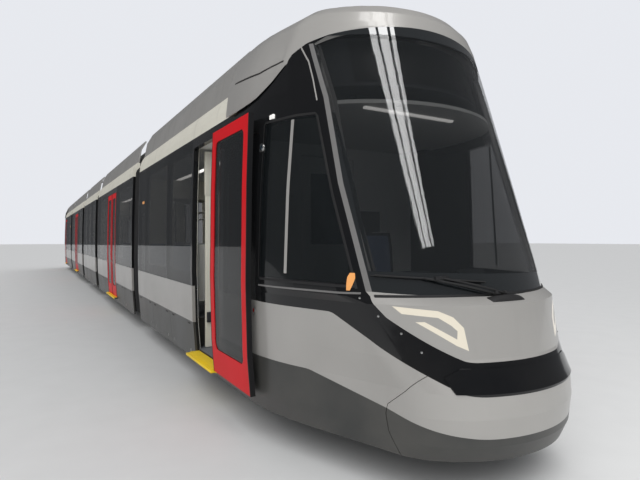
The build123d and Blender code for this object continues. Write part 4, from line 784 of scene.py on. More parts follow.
class Palette:
    """All the tram's materials."""

    def __init__(self) -> None:
        """Make the materials once."""
        self.body = BodySide().material()
        self.underframe = Underframe().material()
        self.roof = Roof().material()
        self.hood = Hood().material()
        self.silver = Plain("silver_paint", SILVER).material()
        self.black = Plain("gloss_black_paint", GLOSS_BLACK, 0.04, mirror=0.35).material()
        self.front_doors = DoorLeaves(CAB_DOORWAY, "front_cab_doors", has_open_leaf=True).material()
        self.cab_doors = DoorLeaves(CAB_DOORWAY, "cab_doors").material()
        self.double_doors = DoorLeaves(DOUBLE_DOORWAY, "double_doors", is_double=True).material()
        self.interior = Interior().material()
        self.glass = TintedGlass("saloon_glass").material()
        self.screen = TintedGlass("windscreen_glass", 0.42, 1.0, is_windscreen=True).material()
        self.headlamp = Glow("headlamp_lens", (1.0, 0.92, 0.76), 0.42).material()
        self.white_lamp = Glow("white_lamp", (1.0, 0.98, 0.95), 0.7, 0.004).material()
        self.tube_lamp = Glow("ceiling_lamp", (1.0, 0.97, 0.92), 1.8, 0.01).material()
        self.amber_lamp = Glow("amber_lamp", (1.0, 0.45, 0.14), 0.5, 0.004).material()
        self.red_lens = Plain("red_lens", LENS_RED, 0.02).material()
        self.rubber = Plain("rubber_seal", RUBBER_BLACK, 0.2, 320.0, 0.0003).material()
        self.steel = Plain("brushed_steel", BRUSHED_STEEL, 0.05, 500.0, 0.0001).material()
        self.dark_steel = Plain("dark_steel", DARK_STEEL, 0.3, 240.0, 0.0004).material()
        self.pale = Plain("pale_panel", PALE_PANEL, 0.06, 420.0).material()
        self.cream = Plain("cream_panel", CREAM, 0.06, 300.0).material()
        self.plastic = Plain("cab_plastic", CAB_PLASTIC, 0.03, 700.0, 0.0003).material()
        self.yellow = Plain("step_yellow", STEP_YELLOW, 0.25, 260.0, 0.0008).material()
        self.pillar = Plain("pillar_grey", PILLAR_GREY, 0.05).material()
        self.fabric = Fabric().material()
        self.bellows = FoldedRubber("gangway_bellows").material()
        self.lining = FoldedRubber("gangway_lining", (0.20, 0.21, 0.22), (0.28, 0.28, 0.28)).material()
        self.bogie = CastSteel("bogie_steel").material()
        self.display = DarkDisplay().material()
        self.monitor = Plain("monitor_face", MONITOR_BLACK, 0.0).material()
        self.pantograph = Plain("pantograph_grey", PANTOGRAPH_GREY, 0.3).material()
        self.carbon = Plain("contact_strip_carbon", CARBON, 0.2, 260.0, 0.0006).material()


# Making meshes


def merge(target: bmesh.types.BMesh, source: bmesh.types.BMesh, matrix: Matrix = Matrix.Identity(4)) -> None:
    """Add a moved copy of one mesh to another.

    Args:
        target: the mesh that grows.
        source: the mesh that is copied.
        matrix: the move, which may mirror the copy.
    """
    mesh = bpy.data.meshes.new("copy")
    source.to_mesh(mesh)
    mesh.transform(matrix)
    if matrix.determinant() < 0:
        mesh.flip_normals()
    target.from_mesh(mesh)
    bpy.data.meshes.remove(mesh)


class Skin:
    """The surface of some built pieces, onto which thin pieces are laid."""

    SIDE_START = -2.0
    SIDE_REACH = 1.3
    FRONT_START = -1.0
    FRONT_REACH = 2.3

    def __init__(self, *nodes: str, more: "Workpiece | None" = None) -> None:
        """Read the surface of the named pieces.

        Args:
            nodes: names of nodes of the frame.
            more: a mesh that belongs to the surface too.
        """
        shape = bmesh.new()
        for node in nodes:
            shape.from_mesh(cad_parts[node].data)
        if more:
            merge(shape, more.shape)
        self.tree = BVHTree.FromBMesh(shape)
        shape.free()

    def cast(self, start: Vector, way: Vector, reach: float) -> tuple[Vector, Vector]:
        """Return the first surface point met from a start, and its normal towards the start.

        Args:
            start: where the ray starts.
            way: its direction.
            reach: how far it goes; past that, the point nearest to its end is given.

        Returns:
            The point and the normal.
        """
        place, normal, _, _ = self.tree.ray_cast(start, way, reach)
        if place is None:
            place, normal, _, _ = self.tree.find_nearest(start + way * reach)
        return place, normal if normal.dot(way) < 0 else -normal

    def on_side(self, setback: float, height: float, proud: float) -> Vector:
        """Return a point on the right side of the nose, from its place in side view."""
        start = nose(setback, height, self.SIDE_START)
        place, normal = self.cast(start, Vector((0, 1, 0)), self.SIDE_REACH)
        return place + normal * proud

    def on_front(self, across: float, height: float, proud: float) -> Vector:
        """Return a point on the front of the nose, from its place in front view."""
        start = nose(self.FRONT_START, height, across)
        place, normal = self.cast(start, Vector((-1, 0, 0)), self.FRONT_REACH)
        return place + normal * proud


class Workpiece:
    """A mesh in the making, in the frame of the tram. The methods that add to it return it."""

    SMOOTH_ANGLE = math.radians(38)
    MIRROR = Matrix.Scale(-1, 4, (0, 1, 0))

    def __init__(self) -> None:
        """Start with an empty mesh."""
        self.shape = bmesh.new()

    def box(self, low: Point, high: Point, edge: float = 0.004, segments: int = 2) -> "Workpiece":
        """Add a box with rounded edges.

        Args:
            low: its lowest corner.
            high: its highest corner.
            edge: radius of its edges.
            segments: facets of each edge.
        """
        size = [b - a for a, b in zip(low, high)]
        middle = [(a + b) / 2 for a, b in zip(low, high)]
        matrix = Matrix.Translation(middle) @ Matrix.Diagonal((*size, 1.0))
        verts = bmesh.ops.create_cube(self.shape, size=1.0, matrix=matrix)["verts"]
        edges = list({e for v in verts for e in v.link_edges})
        rounding = {"offset": edge, "segments": segments, "profile": 0.5, "affect": "EDGES", "material": -1}
        bmesh.ops.bevel(self.shape, geom=edges, **rounding)
        return self

    def rod(self, start: Point, end: Point, radius: float, end_radius: float, sides: int = 12) -> "Workpiece":
        """Add a round rod or cone.

        Args:
            start: middle of its first end.
            end: middle of its other end.
            radius: radius at the start.
            end_radius: radius at the end.
            sides: facets around it.
        """
        run = Vector(end) - Vector(start)
        turn = run.to_track_quat("Z", "Y").to_matrix().to_4x4()
        place = {"depth": run.length, "matrix": Matrix.Translation((Vector(start) + Vector(end)) / 2) @ turn}
        form = {"cap_ends": True, "segments": sides, "radius1": radius, "radius2": end_radius}
        bmesh.ops.create_cone(self.shape, **form, **place)
        return self

    def lathe(self, profile: Sequence[Span], foot: Point, axis: Point, steps: int = 24) -> "Workpiece":
        """Add a turned piece.

        Args:
            profile: its outline, as distances from the axis and along it.
            foot: the point of the axis at distance zero.
            axis: direction of the axis.
            steps: facets around it.
        """
        turned = bmesh.new()
        verts = [bmesh.ops.create_vert(turned, co=(r, 0, h))["vert"][0] for r, h in profile]
        edges = [turned.edges.new(pair) for pair in zip(verts, verts[1:])]
        around = {"cent": (0, 0, 0), "axis": (0, 0, 1), "angle": math.tau, "steps": steps}
        bmesh.ops.spin(turned, geom=verts + edges, use_merge=True, **around)
        bmesh.ops.remove_doubles(turned, verts=turned.verts, dist=1e-6)
        turn = Vector(axis).to_track_quat("Z", "Y").to_matrix().to_4x4()
        merge(self.shape, turned, Matrix.Translation(Vector(foot)) @ turn)
        turned.free()
        return self

    def sheet(
        self, mapping: Callable[[float, float], Vector], across: int, along: int, thick: float
    ) -> "Workpiece":
        """Add a thin curved plate.

        Args:
            mapping: gives a point from two numbers that go from 0 to 1.
            across: its facets in the first number.
            along: its facets in the second.
            thick: its thickness, away from the side that its normals point to.
        """
        made = bmesh.ops.create_grid(self.shape, x_segments=across, y_segments=along, size=0.5)
        for vert in made["verts"]:
            vert.co = mapping(vert.co.x + 0.5, vert.co.y + 0.5)
        faces = list({f for v in made["verts"] for f in v.link_faces})
        bmesh.ops.solidify(self.shape, geom=faces, thickness=thick)
        return self

    def ribbon(
        self, skin: Skin, line: Line, width: float, proud: float, steps: int, across: int
    ) -> "Workpiece":
        """Add a thin strip laid along a line on the right side of the nose.

        Args:
            skin: the surface that carries it.
            line: its middle line, as setbacks and heights.
            width: its width in side view.
            proud: how far it stands off the surface.
            steps: facets along it.
            across: facets across it.
        """

        def point(share: float, v: float) -> Vector:
            """Return a point of the strip."""
            middle, way = walk(line, share)
            off = Vector((-way.y, way.x)) * (v - 0.5) * width
            return skin.on_side(middle.x + off.x, middle.y + off.y, proud)

        return self.sheet(point, steps, across, proud + 0.004)

    def tube(
        self, points: Sequence[Point], radius: float, is_bent: bool = True, rings: int = 3
    ) -> "Workpiece":
        """Add a round tube along a line.

        Args:
            points: the points that it follows.
            radius: its radius.
            is_bent: whether its corners are rounded off.
            rings: fineness of its section.
        """
        curve = bpy.data.curves.new("tube", "CURVE")
        curve.dimensions = "3D"
        curve.bevel_depth = radius
        curve.bevel_resolution = rings
        curve.use_fill_caps = True
        spline = curve.splines.new("NURBS" if is_bent else "POLY")
        spline.points.add(len(points) - 1)
        for target, place in zip(spline.points, points):
            target.co = (*place, 1.0)
        if is_bent:
            spline.order_u = 3
            spline.use_endpoint_u = True
            spline.resolution_u = 6
        holder = bpy.data.objects.new("tube", curve)
        mesh = bpy.data.meshes.new_from_object(holder)
        self.shape.from_mesh(mesh)
        bpy.data.objects.remove(holder)
        bpy.data.curves.remove(curve)
        bpy.data.meshes.remove(mesh)
        return self

    def twin(self) -> "Workpiece":
        """Add the mirrored copy on the other side of the tram."""
        merge(self.shape, self.shape, self.MIRROR)
        return self

    def plain(self, name: str, material: bpy.types.Material, end: End = End.FRONT) -> bpy.types.Object:
        """Make the object without a body to ride on.

        Args:
            name: the piece's name.
            material: its finish.
            end: the half of the tram, for a piece of the front half that is turned to the rear.

        Returns:
            The new object.
        """
        bmesh.ops.recalc_face_normals(self.shape, faces=self.shape.faces)
        for face in self.shape.faces:
            face.smooth = True
        for edge in self.shape.edges:
            edge.smooth = edge.is_manifold and edge.calc_face_angle(0.0) < self.SMOOTH_ANGLE
        mesh = bpy.data.meshes.new(name)
        self.shape.to_mesh(mesh)
        mesh.transform(end.turn())
        mesh.materials.append(material)
        piece = bpy.data.objects.new(name, mesh)
        bpy.context.scene.collection.objects.link(piece)
        LOG.info("made %s, %d faces", name, len(mesh.polygons))
        return piece

    def make(
        self, name: str, material: bpy.types.Material, slot: Slot, body: str = "front_cab_section",
        end: End = End.FRONT,
    ) -> bpy.types.Object:
        """Make the piece.

        Args:
            name: the piece's name.
            material: its finish.
            slot: not used.
            body: the body that it moves with.
            end: the half of the tram, for a piece of the front half that is turned to the rear.

        Returns:
            The new object.
        """
        piece = self.plain(name, material, end)
        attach(piece, body)
        return piece

    def make_ends(
        self, name: str, material: bpy.types.Material, slot: Slot, body: str = "cab_section"
    ) -> None:
        """Make the piece at both ends; the body's name is given without its end."""
        for end in End:
            self.make(f"{end.value}_{name}", material, slot, f"{end.value}_{body}", end)

    def make_section(
        self, section: str, name: str, material: bpy.types.Material, slot: Slot, centre: str = "centre"
    ) -> None:
        """Make the piece at both ends, or once in the centre section.

        Args:
            section: the body, without its end.
            name: the piece's name, without its section.
            material: its finish.
            slot: the record's slot that it belongs to.
            centre: how the name starts in the centre section.
        """
        if section == "centre_section":
            self.make(f"{centre}_{name}", material, slot, section)
        else:
            self.make_ends(f"{section}_{name}", material, slot, section)


# Sub-assemblies


@dataclass
class BuiltPieces:
    """The nodes of the frame that keep their shape."""

    palette: Palette

    def build(self) -> None:
        """Dress every node, by its own name or by the last word of it."""
        palette = self.palette
        finishes = {
            "walls": palette.body,
            "underframe": palette.underframe,
            "roof": palette.roof,
            "interior": palette.interior,
            "glass": palette.glass,
            "cowl": palette.silver,
            "bumper": palette.silver,
            "hood": palette.hood,
            "mask": palette.black,
            "windscreen": palette.screen,
            "headlamps": palette.headlamp,
            "frame": palette.bogie,
            "gangway": palette.bellows,
            "front_cab_doors": palette.front_doors,
            "rear_cab_doors": palette.cab_doors,
            "doors": palette.double_doors,
            "door": palette.pale,
            "pantograph_head": palette.carbon,
        }
        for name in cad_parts:
            kind = name.split("_")[-1]
            if kind == "wheelset":
                low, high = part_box(name)
                middle = (low.x + high.x) / 2
                material = CastSteel(f"{name}_steel", has_tread=True, axle_x=middle).material()
            else:
                material = finishes.get(name, finishes.get(kind, palette.pantograph))
            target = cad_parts[name]
            target.data.materials.clear()
            target.data.materials.append(material)
            LOG.info("dressed %s with %s", name, material.name)


@dataclass(frozen=True)
class NoseLevel:
    """Plan outline of the nose at one height above the rail head."""

    height: float
    setback: float
    front_radius: float
    corner_radius: float
    half_width: float
    taper_start: float
    taper: float
    blend: float = 2.2
    shares: tuple[float, ...] = (0.4, 0.55, 0.7, 0.85, 1.0)

    def point(self, share: float, tail: float) -> Vector:
        """Return a point of the outline: front arc, corner arc, straight, bend, and side.

        Args:
            share: how far along the outline it lies, from 0 in the middle to 1.
            tail: the setback where the outline ends.

        Returns:
            The point, as a setback and a half width.
        """
        angle = math.radians(self.taper)
        run = Vector((math.cos(angle), math.sin(angle)))
        out = Vector((-run.y, run.x))
        front = Vector((self.setback + self.front_radius, 0.0))
        middle = Vector((self.taper_start, self.half_width))
        shift = out.dot(middle - front) - self.corner_radius
        reach = self.front_radius - self.corner_radius
        corner = front + out * shift - run * math.sqrt(reach * reach - shift * shift)
        tangent = self.blend * math.tan(angle / 2)
        bend = Vector((middle.x + tangent, middle.y - self.blend))
        touch = (corner - front).normalized()
        start = math.atan2(touch.y, touch.x)
        part = next(i for i, stop in enumerate(self.shares) if share <= stop)
        low = self.shares[part - 1] if part else 0.0
        local = (share - low) / (self.shares[part] - low)
        if part == 2:
            return (corner + out * self.corner_radius).lerp(middle - run * tangent, local)
        if part == 4:
            return Vector((bend.x, self.half_width)).lerp(Vector((tail, self.half_width)), local)
        centre, radius, first, last = {
            0: (front, self.front_radius, math.pi, start),
            1: (corner, self.corner_radius, start, math.pi / 2 + angle),
            3: (bend, self.blend, math.pi / 2 + angle, math.pi / 2),
        }[part]
        turn = first + (last - first) * local
        return centre + Vector((math.cos(turn), math.sin(turn))) * radius


@dataclass
class RoofHood:
    """The hood that closes the nose above the windscreen and the side windows."""

    palette: Palette
    tail: float = 2.40
    thick: float = 0.035
    crown: float = 0.012
    wall_share: float = 0.8
    edge_range: Span = (2.70, 3.30)
    halvings: int = 24
    facets: tuple[int, int] = (96, 44)
    levels: tuple[NoseLevel, ...] = (
        NoseLevel(2.700, 0.785, 1.220, 0.150, 1.198, 1.790, 19),
        NoseLevel(2.960, 0.871, 1.205, 0.160, 1.168, 1.830, 19),
        NoseLevel(3.228, 0.960, 1.180, 0.190, 1.050, 1.850, 13),
        NoseLevel(3.320, 0.990, 1.100, 0.240, 0.985, 2.000, 11),
        NoseLevel(3.400, 1.060, 0.950, 0.280, 0.880, 2.100, 10),
        NoseLevel(3.455, 1.220, 0.900, 0.300, 0.640, 2.300, 8),
    )
    edge: Line = (
        # setback, height
        (-0.300, 3.212),
        (0.940, 3.212),
        (1.100, 3.178),
        (1.230, 3.125),
        (1.345, 3.062),
        (1.480, 2.955),
        (1.610, 2.848),
        (1.760, 2.768),
        (1.900, 2.738),
        (2.060, 2.725),
        (2.500, 2.725),
    )

    def build(self) -> Workpiece:
        """Make the hoods of both ends and return the front one's mesh."""
        work = Workpiece().sheet(self._point, *self.facets, self.thick)
        bmesh.ops.remove_doubles(work.shape, verts=work.shape.verts, dist=1e-5)
        work.make_ends("roof_hood_shell", self.palette.silver, Slot.ROOF)
        return work

    def _form(self, share: float, height: float) -> Vector:
        """Return the form's point at a share of the plan outline and a height."""
        for low, high in zip(self.levels, self.levels[1:]):
            if height <= high.height:
                part = (height - low.height) / (high.height - low.height)
                return low.point(share, self.tail).lerp(high.point(share, self.tail), part)
        return self.levels[-1].point(share, self.tail)

    def _foot(self, share: float) -> float:
        """Return the height where the form meets the hood's lower edge, by halving a range."""
        low, high = self.edge_range
        for _ in range(self.halvings):
            middle = (low + high) / 2
            if middle < between(self.edge, self._form(share, middle).x):
                low = middle
            else:
                high = middle
        return high

    def _point(self, u: float, v: float) -> Vector:
        """Return a point of the hood."""
        share = abs(2 * u - 1)
        side = -1 if u < 0.5 else 1
        foot, top = self._foot(share), self.levels[-1].height
        height = foot + (top - foot) * min(1.0, v / self.wall_share)
        cap = max(0.0, (v - self.wall_share) / (1 - self.wall_share))
        place = self._form(share, height)
        return nose(place.x, height + self.crown * math.sin(cap * math.pi / 2), side * place.y * (1 - cap))


@dataclass
class NoseDetails:
    """Fine pieces on the cab's outside: lines, bolts, lamps, wipers and the windscreen's lip."""

    palette: Palette
    hood: Workpiece
    strip: Line = ((1.299, 1.337), (1.317, 1.9), (1.324, 2.468))
    belt: Line = ((1.655, 1.223), (0.672, 1.232))
    pillar_edge: Line = ((1.380, 3.045), (1.302, 2.919), (1.242, 2.768), (1.184, 2.602))
    crease: Line = ((2.24, 2.965), (2.05, 2.948), (1.78, 2.932), (1.496, 2.962))
    glass_edge: Line = (
        (0.700, 1.262), (0.945, 1.880), (1.165, 2.500), (1.655, 2.500), (1.655, 1.275), (0.702, 1.275),
    )
    bolt: Line = ((0.008, -0.003), (0.008, 0.003), (0.005, 0.005), (0, 0.005))
    bolt_places: Line = ((0.668, 1.200), (0.560, 1.092), (0.445, 0.992), (0.315, 0.890))
    lens_place: Span = (1.674, 2.304)
    lens: Line = ((0.0, 0.016), (0.014, 0.015), (0.024, 0.010), (0.027, 0.004), (0.027, -0.004))
    lens_ring: Line = ((0.027, -0.004), (0.027, 0.006), (0.031, 0.009), (0.036, 0.006), (0.037, -0.004))
    lamp_place: Span = (1.566, 2.532)
    lamp_half: Point = (0.016, 0.009, 0.018)
    lamp_shift: float = 0.019
    indicator_place: Span = (0.738, 1.252)
    indicator_height: float = 0.105
    indicator_half: float = 0.020
    lip_half: float = 0.84
    lip_foot: float = 1.207
    lip_height: float = 0.014
    cover_start: Span = (-0.19, 1.176)
    cover_size: Span = (0.30, 0.024)
    cover_rise: float = 0.026
    spindle: Line = ((0, 0.02), (0.012, 0.018), (0.018, 0.008), (0.018, -0.01))
    arm_reaches: Line = ((-0.10, -0.56), (-0.02, -0.46))
    arm_foot: float = 1.212
    arm_rise: float = 0.11
    arm_off: Span = (0.026, 0.014)
    arm_radius: float = 0.0075
    blade_foot: float = 1.292
    blade_rise: float = 0.050
    blade_bars: tuple[tuple[float, float, float, float], ...] = (
        # start, run, stand-off, radius
        (-0.16, 0.66, 0.020, 0.006),
        (-0.14, 0.70, 0.008, 0.004),
    )

    def build(self) -> None:
        """Make the pieces of the front nose and turn them to the rear."""
        outside = (f"front_cab_{kind}" for kind in ("mask", "glass", "hood", "cowl"))
        self.skin = Skin(*outside, more=self.hood)
        self.screen = Skin("front_cab_windscreen", "front_cab_cowl")
        self._lines()
        self._bolts()
        self._side_lamps()
        self._indicator()
        self._wiper_arms()
        self._wiper_blade()
        self._lip()

    def _lines(self) -> None:
        """Lay the side strip, the belt line, the pillar's edge, painted shadow in the hood's crease, and the
        glass seal.
        """
        palette = self.palette
        for name, material, slot, line, width, proud, steps, across in (
            ("side_strip", palette.silver, Slot.SILVER, self.strip, 0.030, 0.004, 40, 3),
            ("belt_line", palette.pillar, Slot.BLACK, self.belt, 0.006, 0.003, 26, 1),
            ("pillar_edge", palette.silver, Slot.SILVER, self.pillar_edge, 0.007, 0.003, 30, 1),
            # the dark steel strip along the hood's crease is painted shadow, standing in for the shade in the
            # crease
            ("hood_crease_shadow", palette.dark_steel, Slot.BLACK, self.crease, 0.009, 0.0015, 30, 1),
            ("side_glass_seal", palette.rubber, Slot.BLACK, self.glass_edge, 0.012, 0.002, 120, 1),
        ):
            work = Workpiece().ribbon(self.skin, line, width, proud, steps, across)
            work.twin().make_ends(name, material, slot)

    def _bolts(self) -> None:
        """Set the small bolts in the black panel along the cowl's edge."""
        bolts = Workpiece()
        for setback, height in self.bolt_places:
            bolts.lathe(self.bolt, self.skin.on_side(setback, height, 0.0), (0.45, -0.9, 0), 12)
        bolts.twin().make_ends("cowl_bolts", self.palette.steel, Slot.SILVER)

    def _side_lamps(self) -> None:
        """Place the round lens in its ring and the white lamp with its two windows."""
        palette = self.palette
        foot = self.skin.on_side(*self.lens_place, 0.0)
        lens = Workpiece().lathe(self.lens, foot, (0, -1, 0.05))
        lens.twin().make_ends("side_lens", palette.monitor, Slot.LAMP)
        ring = Workpiece().lathe(self.lens_ring, foot, (0, -1, 0.05))
        ring.twin().make_ends("side_lens_ring", palette.steel, Slot.SILVER)
        lamp, half = Workpiece(), Vector(self.lamp_half)
        for shift in (-self.lamp_shift, self.lamp_shift):
            middle = self.skin.on_side(*self.lamp_place, 0.0) + Vector((shift, 0, 0))
            lamp.box(middle - half, middle + half + Vector((0, 0.003, 0)), 0.005)
        lamp.twin().make_ends("top_marker_lamp", palette.white_lamp, Slot.LAMP)

    def _indicator(self) -> None:
        """Place the drop-shaped amber lamp."""
        setback, foot = self.indicator_place

        def point(u: float, v: float) -> Vector:
            """Return a point of the lamp."""
            half = self.indicator_half * (1 - 0.55 * (1 - v) ** 2) * (1 - max(0.0, v - 0.75) * 1.6)
            return self.skin.on_side(setback + (u - 0.5) * 2 * half, foot + v * self.indicator_height, 0.005)

        lamp = Workpiece().sheet(point, 6, 12, 0.008)
        lamp.twin().make_ends("side_indicator", self.palette.amber_lamp, Slot.LAMP)

    def _wiper_arms(self) -> None:
        """Build the wiper's spindle cover and its two arms, with the blade's carrier block on the second."""
        (across, foot), (width, height) = self.cover_start, self.cover_size

        def cover(u: float, v: float) -> Vector:
            """Return a point of the low spindle cover."""
            rise = self.cover_rise * math.sin(math.pi * u) ** 0.5 * math.sin(math.pi * v) ** 0.5
            place = self.screen.on_front(across + width * u, foot + height * v, 0.0)
            return place + Vector((0.35 * rise, 0, rise))

        rubber = self.palette.rubber
        Workpiece().sheet(cover, 24, 8, 0.006).make_ends("wiper_cover", rubber, Slot.BLACK)
        arms = Workpiece()
        near, bow = self.arm_off
        for start, stop in self.arm_reaches:
            line = []
            for t in (i / 8 for i in range(9)):
                off, height = near + bow * math.sin(math.pi * t), self.arm_foot + self.arm_rise * t
                line.append(self.screen.on_front(start + (stop - start) * t, height, off))
            arms.tube(line, self.arm_radius)
            arms.lathe(self.spindle, line[0], (0.8, 0, 0.6), 16)
        arms.box(line[-1] - Vector((0.008, 0.055, 0.012)), line[-1] + Vector((0.010, 0.055, 0.012)))
        arms.make_ends("wiper_arms", rubber, Slot.BLACK)

    def _wiper_blade(self) -> None:
        """Lay the blade on the windscreen, with its carrier over it."""
        blade = Workpiece()
        foot, rise, shares = self.blade_foot, self.blade_rise, [i / 16 for i in range(17)]
        for start, run, off, radius in self.blade_bars:
            blade.tube([self.screen.on_front(start - run * t, foot + rise * t, off) for t in shares], radius)
        blade.make_ends("wiper_blade", self.palette.rubber, Slot.BLACK)

    def _lip(self) -> None:
        """Lay the rubber lip along the windscreen's foot."""
        lip, skin = Workpiece(), self.screen
        half, foot, height = self.lip_half, self.lip_foot, self.lip_height
        lip.sheet(lambda u, v: skin.on_front(half * (2 * u - 1), foot + height * v, 0.005), 60, 1, 0.006)
        lip.make_ends("windscreen_lip", self.palette.rubber, Slot.BLACK)


@dataclass
class CabInside:
    """What the driver's cab holds: display, lamp bar, monitors, desk controls and the inner door's window."""

    palette: Palette
    display_half: float = 0.64
    display_rise: Span = (2.765, 0.335)
    bar_place: Span = (1.075, 2.552)
    bar_span: Span = (-0.60, 0.30)
    bar_lamps: int = 12
    bar_gap: float = 0.002
    monitors: Line = ((-0.43, -0.15), (0.15, 0.43))
    monitor_foot: Span = (0.8365, 1.160)
    monitor_rise: Span = (0.0285, 0.170)
    monitor_rim: float = 0.012
    panel_place: Span = (0.98, 1.105)
    lever_place: Span = (1.02, 1.088)
    lever_lean: float = 0.02
    button_place: Span = (0.99, 1.118)
    button_start: float = -0.10
    button_pitch: float = 0.028
    buttons: int = 8
    levers: tuple[tuple[float, float, float], ...] = ((-0.30, 0.13, 0.022), (0.30, 0.09, 0.018))
    window: Block = ((12.4495, -0.21, 1.55), (12.4845, 0.21, 2.30))

    def build(self) -> None:
        """Make the pieces of the front cab and turn them to the rear."""
        self._display()
        self._lamp_bar()
        self._monitors()
        self._controls()
        window = Workpiece().box(*self.window, 0.002)
        window.make_ends("inner_door_window", self.palette.monitor, Slot.GLASS, "cab_inner_door")

    def _display(self) -> None:
        """Lay the blank display's face on its case."""
        skin = Skin("front_cab_interior")
        half, (foot, rise) = self.display_half, self.display_rise
        face = Workpiece()
        face.sheet(lambda u, v: skin.on_front(half * (2 * u - 1), foot + rise * v, 0.004), 24, 4, 0.003)
        face.make_ends("destination_display", self.palette.display, Slot.BLACK)

    def _lamp_bar(self) -> None:
        """Set a row of small lamps under the cab's ceiling."""
        start, stop = self.bar_span
        pitch = (stop - start) / self.bar_lamps
        bar = Workpiece()
        for i in range(self.bar_lamps):
            low = nose(*self.bar_place, start + pitch * i)
            bar.box(low, low + Vector((0.035, pitch - self.bar_gap, 0.018)))
        bar.make_ends("cab_lamp_bar", self.palette.white_lamp, Slot.LAMP)

    def _monitors(self) -> None:
        """Lay the glass faces on the desk's monitors, inside their rims."""
        screens = Workpiece()
        (back, foot), (lean, rise) = self.monitor_foot, self.monitor_rise
        for start, stop in self.monitors:
            low, width = start + self.monitor_rim, stop - start - 2 * self.monitor_rim
            screens.sheet(lambda u, v: nose(back + lean * v, foot + rise * v, low + width * u), 2, 2, 0.003)
        screens.make_ends("monitor_faces", self.palette.monitor, Slot.INTERIOR)

    def _controls(self) -> None:
        """Build the middle panel with its row of buttons, and two levers with round handles."""
        controls = Workpiece()
        top = nose(*self.panel_place)
        controls.box(top + Vector((-0.08, -0.12, -0.006)), top + Vector((0.08, 0.12, 0.014)), 0.006)
        for y, height, tip in self.levers:
            foot = nose(*self.lever_place, y)
            handle = ((0, tip * 2), (tip * 0.7, tip * 1.7), (tip, tip), (tip * 0.7, tip * 0.25), (0.006, 0))
            controls.rod(foot, foot + Vector((self.lever_lean, 0, height)), 0.008, 0.008)
            controls.lathe(handle, foot + Vector((self.lever_lean, 0, height - tip * 0.4)), (0.15, 0, 1), 16)
        for i in range(self.buttons):
            spot = nose(*self.button_place, self.button_start + self.button_pitch * i)
            controls.rod(spot, spot + Vector((0, 0, 0.008)), 0.009, 0.008)
        controls.make_ends("desk_controls", self.palette.plastic, Slot.INTERIOR)


